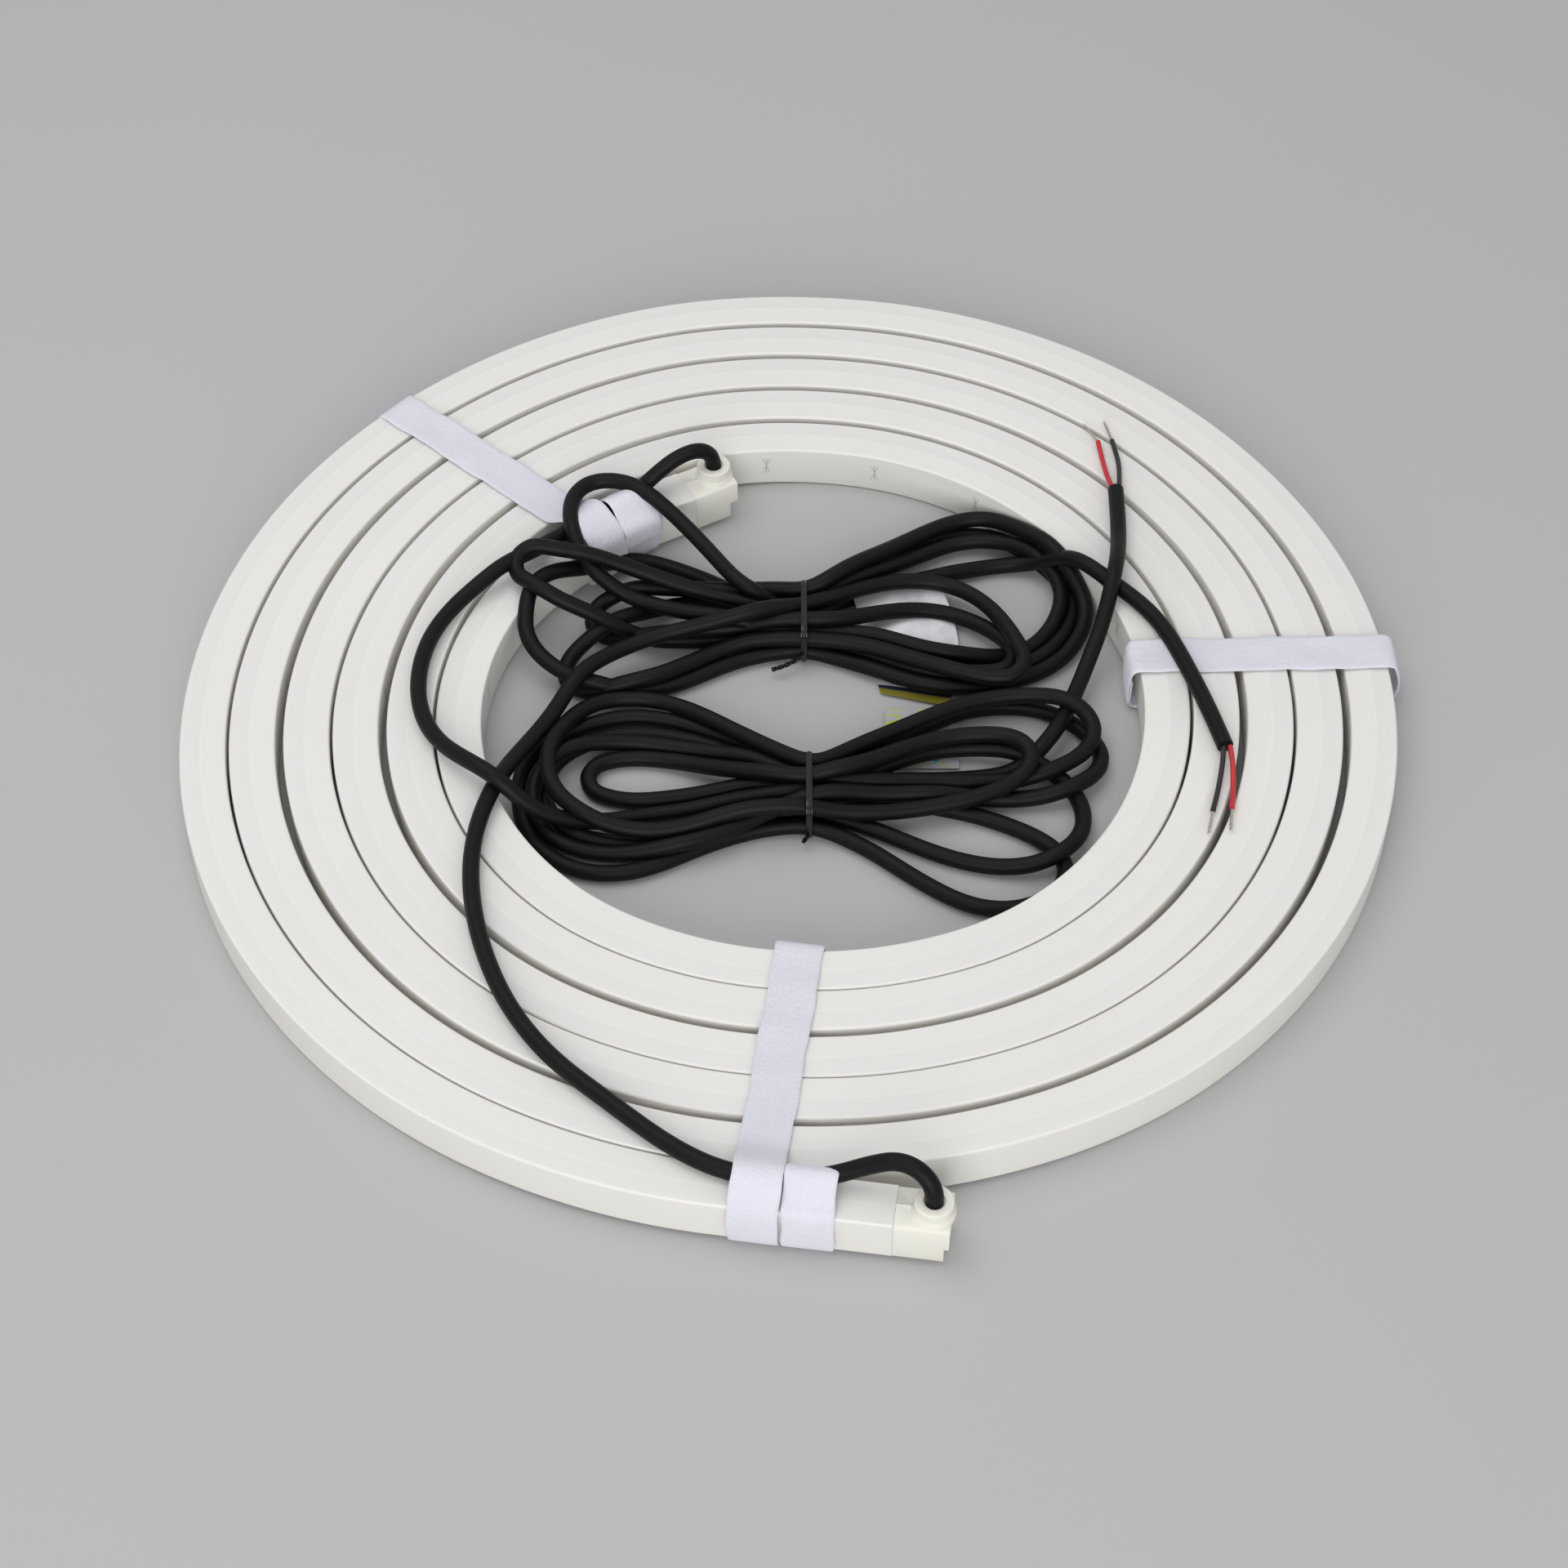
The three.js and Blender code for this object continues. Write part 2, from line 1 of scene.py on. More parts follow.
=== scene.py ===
import math
import bmesh
import bpy
import numpy as np
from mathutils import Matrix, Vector


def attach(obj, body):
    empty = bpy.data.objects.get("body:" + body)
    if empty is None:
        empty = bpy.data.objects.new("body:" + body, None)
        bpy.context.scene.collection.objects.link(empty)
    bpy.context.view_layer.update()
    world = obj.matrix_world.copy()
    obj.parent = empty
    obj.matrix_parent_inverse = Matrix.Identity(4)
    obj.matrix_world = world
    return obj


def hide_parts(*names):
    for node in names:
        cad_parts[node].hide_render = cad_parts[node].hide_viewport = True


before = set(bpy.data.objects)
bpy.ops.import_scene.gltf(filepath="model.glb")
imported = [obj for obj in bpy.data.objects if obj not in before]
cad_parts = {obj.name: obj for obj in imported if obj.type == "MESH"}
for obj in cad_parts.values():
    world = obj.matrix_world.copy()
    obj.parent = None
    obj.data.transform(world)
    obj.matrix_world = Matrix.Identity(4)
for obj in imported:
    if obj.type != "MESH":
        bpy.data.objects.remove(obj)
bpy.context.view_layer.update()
print("frame loaded")

# places are in millimetres from the middle of the winding; metres in the frame come from place()
mm = 0.001
tiny = 0.01 * mm  # points this near are one point
windingMiddle = {"x": 2.46, "y": 4.29}


def place(x, y, z):
    return Vector(((x + windingMiddle["x"]) * mm, (y + windingMiddle["y"]) * mm, z * mm))


def placeAll(spots):
    return [place(*spot) for spot in spots]


# camera
view = {"x": -5.5, "y": -694.85, "z": 760.94, "pitch": 41.393, "angle": 27.443, "clip": 0.05}
bpy.ops.object.camera_add(location=place(view["x"], view["y"], view["z"]),
                          rotation=(math.radians(view["pitch"]), 0, 0))
camera = bpy.context.object
camera.data.sensor_fit = "HORIZONTAL"
camera.data.angle = math.radians(view["angle"])
camera.data.clip_start = view["clip"]
bpy.context.scene.camera = camera


# small helpers
def pick(piece):
    bpy.ops.object.select_all(action="DESELECT")
    piece.select_set(True)
    bpy.context.view_layer.objects.active = piece


def applyAll(piece):
    pick(piece)
    for modifier in list(piece.modifiers):
        bpy.ops.object.modifier_apply(modifier=modifier.name)


def smoothShade(piece, angle=40):
    pick(piece)
    bpy.ops.object.shade_smooth_by_angle(angle=math.radians(angle))


def editAll(piece):
    pick(piece)
    bpy.ops.object.mode_set(mode="EDIT")
    bpy.ops.mesh.select_all(action="SELECT")


def leaveEdit():
    bpy.ops.object.mode_set(mode="OBJECT")


def turnFacesOut():
    bpy.ops.mesh.select_all(action="SELECT")
    bpy.ops.mesh.normals_make_consistent(inside=False)


def cutAcross(spot, normal, **values):
    bpy.ops.mesh.select_all(action="SELECT")
    bpy.ops.mesh.bisect(plane_co=spot, plane_no=normal, **values)


def selectIn(test, kind):
    # selects the faces, edges or vertices of the mesh in edit mode that pass a test
    mesh = bmesh.from_edit_mesh(bpy.context.object.data)
    for items in (mesh.verts, mesh.edges, mesh.faces):
        for item in items:
            item.select = False
    chosen = {"VERT": mesh.verts, "EDGE": mesh.edges, "FACE": mesh.faces}[kind]
    for item in chosen:
        item.select_set(test(item))
    bpy.context.tool_settings.mesh_select_mode = (kind == "VERT", kind == "EDGE", kind == "FACE")
    mesh.select_flush_mode()
    bmesh.update_edit_mesh(bpy.context.object.data)


def newPiece(name, data):
    piece = bpy.data.objects.new(name, data)
    bpy.context.collection.objects.link(piece)
    return piece


def meshPiece(name, points, faces):
    data = bpy.data.meshes.new(name)
    data.from_pydata([tuple(point) for point in points], [], faces)
    data.update()
    return newPiece(name, data)


def curvePiece(name, points, radius, sides=4, kind="NURBS", detail=3):
    data = bpy.data.curves.new(name, "CURVE")
    data.dimensions = "3D"
    data.twist_mode = "MINIMUM"
    data.bevel_depth = radius * mm
    data.bevel_resolution = sides
    data.use_fill_caps = True
    line = data.splines.new(kind)
    line.points.add(len(points) - 1)
    for point, spot in zip(line.points, points):
        point.co = (*spot, 1)
    line.use_smooth = True
    if kind == "NURBS":
        line.order_u = 4
        line.use_endpoint_u = True
        line.resolution_u = detail
    return newPiece(name, data)


def asMesh(piece):
    pick(piece)
    bpy.ops.object.convert(target="MESH")
    return bpy.context.object


def joinPieces(parts):
    pick(parts[0])
    for part in parts:
        part.select_set(True)
    bpy.ops.object.join()
    return parts[0]


def ready(piece, slot, material, *nodes):
    piece.data.materials.clear()
    piece.data.materials.append(material)
    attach(piece, "root")
    if nodes:
        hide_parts(*nodes)


def thicken(piece, thickness):
    wall = piece.modifiers.new("wall", "SOLIDIFY")
    wall.thickness = thickness * mm
    wall.offset = 0


def smoothStep(value, low, high):
    share = np.clip((value - low) / (high - low), 0, 1)
    return share * share * (3 - 2 * share)


def unitRows(rows):
    return rows / np.linalg.norm(rows, axis=1)[:, None]


def lineLength(line):
    return float(np.linalg.norm(np.diff(line, axis=0), axis=1).sum())


# shader shortcuts, and the groups that several finishes share
def addNode(tree, kind, links=(), **values):
    node = tree.nodes.new(kind)
    for key, value in values.items():
        setattr(node, key, value)
    for socket, source in links:
        if hasattr(source, "is_linked"):
            tree.links.new(source, node.inputs[socket])
        else:
            node.inputs[socket].default_value = source
    return node


def maths(tree, operation, *sources):
    return addNode(tree, "ShaderNodeMath", enumerate(sources), operation=operation).outputs[0]


def mapRange(tree, value, low=0, high=1, start=0, end=1):
    limits = (("From Min", low), ("From Max", high), ("To Min", start), ("To Max", end))
    return addNode(tree, "ShaderNodeMapRange", [("Value", value), *limits]).outputs["Result"]


def addNoise(tree, spot, scale, detail, **values):
    links = [("Vector", spot), ("Scale", scale), ("Detail", detail), *values.items()]
    return addNode(tree, "ShaderNodeTexNoise", links).outputs["Fac"]


def addCells(tree, spot, scale, **values):
    links = [("Vector", spot), ("Scale", scale), *values.items()]
    return addNode(tree, "ShaderNodeTexVoronoi", links).outputs


def addMap(tree, name):
    return addNode(tree, "ShaderNodeUVMap", uv_map=name).outputs["UV"]


def addRamp(tree, factor, stops, kind="LINEAR"):
    node = addNode(tree, "ShaderNodeValToRGB", [("Fac", factor)])
    ramp = node.color_ramp
    ramp.interpolation = kind
    while len(ramp.elements) < len(stops):
        ramp.elements.new(0.5)
    for element, (position, colour) in zip(ramp.elements, stops):
        element.position = position
        element.color = (*colour, 1)
    return node.outputs["Color"]


def splitParts(tree, source):
    return addNode(tree, "ShaderNodeSeparateXYZ", [("Vector", source)]).outputs


def mixColour(tree, factor, first, second, blend="MIX"):
    node = addNode(tree, "ShaderNodeMix", data_type="RGBA", blend_type=blend)
    for socket, source in ((0, factor), (6, first), (7, second)):
        if hasattr(source, "is_linked"):
            tree.links.new(source, node.inputs[socket])
        elif socket == 0:
            node.inputs[socket].default_value = source
        else:
            node.inputs[socket].default_value = (*source, 1)
    return node.outputs[2]


def mixValue(tree, factor, first, second):
    return addNode(tree, "ShaderNodeMix", [(0, factor), (2, first), (3, second)]).outputs[0]


def groupOf(name, inputs, outputs):
    group = bpy.data.node_groups.new(name, "ShaderNodeTree")
    for label, value in inputs.items():
        socket = group.interface.new_socket(label, in_out="INPUT", socket_type="NodeSocketFloat")
        socket.default_value = value
    for label in outputs:
        group.interface.new_socket(label, in_out="OUTPUT", socket_type="NodeSocketFloat")
    return group, group.nodes.new("NodeGroupInput").outputs, group.nodes.new("NodeGroupOutput").inputs


def makeSurfaceGrain():
    # fine moulded grain with slow shade changes, from Object coordinates
    inputs = {"Fine Scale": 2500.0, "Slow Scale": 30.0, "Fine Share": 0.6}
    group, given, result = groupOf("surfaceGrain", inputs, ("Height", "Shade"))
    spot = addNode(group, "ShaderNodeTexCoord").outputs["Object"]
    fine = addNoise(group, spot, given["Fine Scale"], 3.0, Roughness=0.6)
    slow = addNoise(group, spot, given["Slow Scale"], 4.0, Roughness=0.55)
    group.links.new(mixValue(group, given["Fine Share"], slow, fine), result["Height"])
    group.links.new(slow, result["Shade"])
    return group


def makeDust():
    # pale specks and lint, from Object coordinates
    group, given, result = groupOf("dustSpecks", {"Scale": 600.0, "Amount": 0.4}, ("Mask",))
    spot = addNode(group, "ShaderNodeTexCoord").outputs["Object"]
    near = mapRange(group, addCells(group, spot, given["Scale"])["Distance"], 0.04, 0.12, 1.0, 0.0)
    where = mapRange(group, addNoise(group, spot, 25.0, 2.0), 0.5, 0.65)
    mask = maths(group, "MULTIPLY", maths(group, "MULTIPLY", near, where), given["Amount"])
    group.links.new(mask, result["Mask"])
    return group


surfaceGrain = makeSurfaceGrain()
dustSpecks = makeDust()


def startMaterial(name, roughness, **values):
    material = bpy.data.materials.new(name)
    material.use_nodes = True
    tree = material.node_tree
    shader = tree.nodes["Principled BSDF"]
    shader.inputs["Roughness"].default_value = roughness
    for label, value in values.items():
        shader.inputs[label.replace("_", " ")].default_value = value
    return material, tree, shader


def addGroup(tree, group, **values):
    node = tree.nodes.new("ShaderNodeGroup")
    node.node_tree = group
    for label, value in values.items():
        node.inputs[label.replace("_", " ")].default_value = value
    return node.outputs


def addBump(tree, shader, height, strength, distance=0.0002):
    links = [("Height", height), ("Strength", strength), ("Distance", distance)]
    tree.links.new(addNode(tree, "ShaderNodeBump", links).outputs["Normal"], shader.inputs["Normal"])


grainSpread = 0.06  # how far the roughness swings to each side


def grainedMaterial(name, light, dark, roughness, fine, bump, dust=0.0, dustColour=(0.6, 0.6, 0.6), **values):
    material, tree, shader = startMaterial(name, roughness, **values)
    grain = addGroup(tree, surfaceGrain, Fine_Scale=fine)
    colour = mixColour(tree, grain["Shade"], dark, light)
    if dust:
        colour = mixColour(tree, addGroup(tree, dustSpecks, Amount=dust)["Mask"], colour, dustColour)
    tree.links.new(colour, shader.inputs["Base Color"])
    rough = mapRange(tree, grain["Shade"], start=roughness - grainSpread, end=roughness + grainSpread)
    tree.links.new(rough, shader.inputs["Roughness"])
    addBump(tree, shader, grain["Height"], bump)
    return material


capSilicone = grainedMaterial("capSilicone", (0.83, 0.815, 0.735), (0.78, 0.765, 0.68), 0.5, 1800, 0.12,
                              Subsurface_Weight=0.08, Subsurface_Scale=0.004)
cableJacket = grainedMaterial("cableJacket", (0.0048, 0.0045, 0.0045), (0.003, 0.0028, 0.0028), 0.5, 3500,
                              0.22, dust=0.03, dustColour=(0.09, 0.085, 0.08), Specular_IOR_Level=0.2)
tiePlastic = grainedMaterial("tiePlastic", (0.010, 0.010, 0.011), (0.006, 0.006, 0.007), 0.18, 1500, 0.08)
redCore = grainedMaterial("redCore", (0.62, 0.028, 0.03), (0.45, 0.015, 0.02), 0.36, 2500, 0.12)
blackCore = grainedMaterial("blackCore", (0.02, 0.02, 0.021), (0.012, 0.012, 0.013), 0.36, 2500, 0.12)
tinnedWire = grainedMaterial("tinnedWire", (0.66, 0.62, 0.55), (0.5, 0.45, 0.38), 0.35, 4000, 0.2,
                             Metallic=1.0)


# the winding, seen from above: a spiral of the flex's middle line
flex = {
    "width": 14.4, "height": 15, "corner": 0.75, "ridgeWidth": 1.1, "ridgeHeight": 0.16, "ridgeOffset": 0.5,
    "holeRadius": 96.8, "turnPitch": 16.22, "gapLean": 0.45, "gapSway": 0.5, "swayFrom": 165,
    "pinch": 0.9, "pinchAngle": 25, "pinchCount": 3, "innerTuck": 2.6, "tuckFrom": 30, "tuckTo": 72,
    "countFrom": 100, "sweepStart": 19.5, "sweepEnd": 1962, "innerStraight": 13.65, "outerStraight": 52.25,
    "unitLength": 40, "unitSteps": 12, "pathStep": 1.5,
}
# the straps under the coil lift it; each place is a plan angle and the half angle that is held
underStraps = {"lift": 1.1, "ramp": 24, "places": ((130, 22), (5.6, 8), (268, 16))}
coilTop = 16.4  # where a cable rests on the coil


def turnRadius(sweep):
    angle = np.radians(flex["countFrom"] + sweep)
    spacing = flex["turnPitch"] + flex["gapLean"] * np.sin(angle)
    pinch = flex["pinch"] * np.cos(flex["pinchCount"] * (angle - math.radians(flex["pinchAngle"])))
    sway = flex["gapSway"] * np.cos(np.radians((sweep - flex["swayFrom"]) / 2))
    tuck = flex["innerTuck"] * (1 - smoothStep(sweep, flex["tuckFrom"], flex["tuckTo"]))
    return flex["holeRadius"] + flex["width"] / 2 + spacing * sweep / 360 - pinch + sway - tuck


def liftAt(angle):
    shares = []
    for middle, hold in underStraps["places"]:
        away = np.abs(np.mod(angle - middle + 180, 360) - 180)
        shares.append(1 - smoothStep(away, hold, hold + underStraps["ramp"]))
    return underStraps["lift"] * np.max(shares, axis=0)


def windingLine():
    count = int((flex["sweepEnd"] - flex["sweepStart"]) / flex["pathStep"]) + 1
    sweep = np.linspace(flex["sweepStart"], flex["sweepEnd"], count)
    angle = flex["countFrom"] + sweep
    outward = np.column_stack([np.cos(np.radians(angle)), np.sin(np.radians(angle))])
    line = outward * turnRadius(sweep)[:, None]
    start = line[0] + flex["innerStraight"] * np.array([outward[0][1], -outward[0][0]])
    end = line[-1] + flex["outerStraight"] * np.array([-outward[-1][1], outward[-1][0]])
    plan = np.vstack([start, line, end])
    lift = np.concatenate([[underStraps["lift"]], liftAt(angle), [underStraps["lift"]]])
    return np.column_stack([plan, lift])


# cables: each is one length, laid through its hank by the strands that the eye can follow
cable = {"diameter": 5.3, "spacing": 3.0}
tieSlots = {  # offset across the bundle and height of each pass through a tie
    "A": (9.3, 12.3), "B": (3.1, 12.3), "C": (-3.1, 12.3), "D": (-9.3, 12.3),
    "E": (6.2, 8), "F": (0, 8), "G": (-6.2, 8),
    "H": (9.3, 3.7), "I": (3.1, 3.7), "J": (-3.1, 3.7), "K": (-9.3, 3.7),
}


def strand(heights, *plan):
    # a stretch of cable in plan, with its heights spread evenly along it
    along = np.interp(np.linspace(0, 1, len(plan)), np.linspace(0, 1, len(heights)), heights)
    return [(x, y, z) for (x, y), z in zip(plan, along)]


# in an order, a letter from A to K is a pass through the tie and a minus sign means laid backwards
outerFeed = {
    "tie": (1, 40),
    "order": "lead B i D -d F R I c K -f A e C j J -b E g G -a H h".split(),
    "lead": [
        (36, -195.7, 20.3), (36, -195.6, 23.5), (34.9, -194.1, 27), (31.8, -191.4, 29.1),
        (27.8, -189, 29.3), (23.6, -187.7, 28.2), (19.2, -187, 26), (15, -186.7, 23.6), (11, -187, 21.4),
        (6, -187.6, 19.9), (-2, -187.6, 19.5), (-19, -186.2, 19.5), (-30.6, -181, 19.6),
        (-42.2, -172.7, 19.6), (-56.5, -160, 19.6), (-72, -146, 19.4), (-86.3, -125.3, 18.9),
        (-96.5, -98, 18.5), (-100, -76, 18.5), (-100, -65, 18.5), (-98.5, -53.5, 18.5),
        (-95.5, -43.5, 18.5), (-92, -34, 18.5), (-87.5, -26, 18.2), (-82, -18, 18), (-77.5, -10, 17.7),
        (-73, 3.5, 17.4), (-67, 12, 17), (-59, 18.5, 16.7), (-51.5, 23.5, 16.3), (-44.5, 27, 16),
        (-37, 29.5, 15.7), (-29.5, 32, 15.3), (-22, 35, 15),
    ],
    "a": strand(
        (17, 22, 24, 24, 24, 22, 15, 10),
        (-19, 46), (-25.5, 54.5), (-32.5, 63), (-39, 71), (-46, 79), (-53, 85.5), (-60, 89.5),
        (-67, 91.5), (-73, 89.5), (-76.5, 83.5), (-77, 74.5), (-75, 65.5), (-71.5, 58), (-66.5, 53),
        (-61, 50), (-50, 46),
    ),
    "b": strand(
        (17, 19, 20, 20, 19, 16, 12, 7, 6),
        (-39, 47.5), (-45.5, 49.5), (-52, 52.5), (-59, 55), (-67, 58), (-75.5, 60), (-82.5, 61.5),
        (-93, 63), (-99, 62.5), (-101.5, 59), (-97, 53.5), (-90, 49), (-83, 44), (-76.5, 42), (-70.5, 40),
        (-65, 38), (-59, 36), (-53, 34), (-45, 33), (-30, 33),
    ),
    "c": strand(
        (12, 12, 14, 14, 14, 12, 9, 6, 5),
        (-32.5, 56), (-42.5, 61), (-53, 65.5), (-61, 67), (-70, 66), (-77, 64), (-83.5, 59.5), (-88, 54),
        (-91.5, 46.5), (-92, 38), (-90.5, 30), (-86.5, 21.5), (-81, 16.5), (-76, 12.5), (-69.5, 10),
        (-61.5, 9), (-53.5, 9), (-44, 11), (-36.5, 15), (-29.5, 20), (-18.5, 26),
    ),
    "d": strand(
        (9, 10, 10, 9, 9, 10),
        (-32.5, 48), (-41.5, 46.5), (-48.5, 44.5), (-53.5, 42), (-59, 38), (-64, 33.5), (-69, 29.5),
        (-74, 24.5), (-77.5, 18), (-78, 12.5), (-75, 8), (-69, 6.5), (-59, 9), (-48, 12.5), (-37, 18.5),
        (-26, 25.5), (-15, 31),
    ),
    "e": strand(
        (12, 12, 11, 8, 7, 8),
        (-15.5, 50), (-32.5, 50.5), (-45.5, 51), (-56, 50), (-63, 47.5), (-68.5, 43.5), (-71.5, 40),
        (-72.5, 37), (-70.5, 33.5), (-66.5, 32), (-60, 32), (-52, 33), (-45, 34), (-35.5, 36),
        (-25.5, 37), (-15, 38),
    ),
    "f": strand(
        (14, 14, 14, 12, 8, 5),
        (15.5, 58), (27.5, 66), (40, 74.5), (50, 80.5), (59.5, 83.5), (67, 84), (75, 81), (83, 75.5),
        (89.5, 66), (93, 56.5), (94, 47.5), (93.5, 38), (90.5, 29.5), (85.5, 22), (79.5, 16), (71, 13),
        (62, 11), (50.5, 11), (40.5, 13), (31.5, 17), (22, 22),
    ),
    "g": strand(
        (10, 11, 11, 10, 9, 9),
        (14.5, 55), (25, 60.5), (35, 65.5), (42, 69), (49, 73.5), (56, 75.5), (62.5, 75.5), (69.5, 74),
        (76, 70), (82, 63.5), (86.5, 56), (87.5, 48.5), (85, 38), (79.5, 29.5), (75, 24.5), (67, 22.5),
        (60.5, 22.5), (50.5, 23), (41, 25.5), (31.5, 29.5), (22.5, 33.5),
    ),
    "R": strand(
        (7, 4, 4, 4, 4, 5),
        (27.5, 69), (39, 78), (49.5, 83), (60, 83.5), (67.5, 83), (75.5, 79), (83, 73), (88.5, 66),
        (91, 57), (90.5, 47.5), (88, 39.5), (83, 32), (77, 26), (67.5, 21), (57.5, 19), (47.5, 20),
        (35.5, 24), (24.5, 30),
    ),
    "h": strand(
        (6, 8, 8, 8, 12, 18.5),
        (25, 56), (36.5, 58.5), (46, 61), (53.5, 63), (62.5, 65.5), (72, 67), (77.5, 66.5), (83, 64.5),
        (88, 62), (93.5, 57),
    ) + [
        (99, 49.5, 18.5), (105, 43.5, 18.8), (109.5, 38, 19.2), (114.5, 30, 19.6), (118.5, 20, 21),
        (121.5, 10.4, 21), (125, 0, 20.2), (128, -10, 19.6), (131.8, -25.5, 19.3),
    ],
    "i": strand(
        (14, 15, 15, 15, 15, 14),
        (14.5, 47.5), (22.5, 50.5), (30.5, 52), (37.5, 52.5), (46, 51.5), (53.5, 48), (59.5, 43),
        (63.5, 37), (66.5, 30.5), (69, 23), (72, 17.5), (74.5, 12.5), (73, 8.5), (68, 7), (59.5, 8.5),
        (50, 11.5), (37, 16.5), (24, 22.5),
    ),
    "j": strand(
        (13, 13, 13, 12, 9, 7),
        (14.5, 34.5), (21, 38), (28, 40), (36, 41), (44.5, 40.5), (51.5, 38), (58.5, 34), (65, 29),
        (69.5, 23), (71.5, 18), (70, 14), (65, 13), (56.5, 15), (47, 18), (35.5, 22), (24, 27),
    ),
}

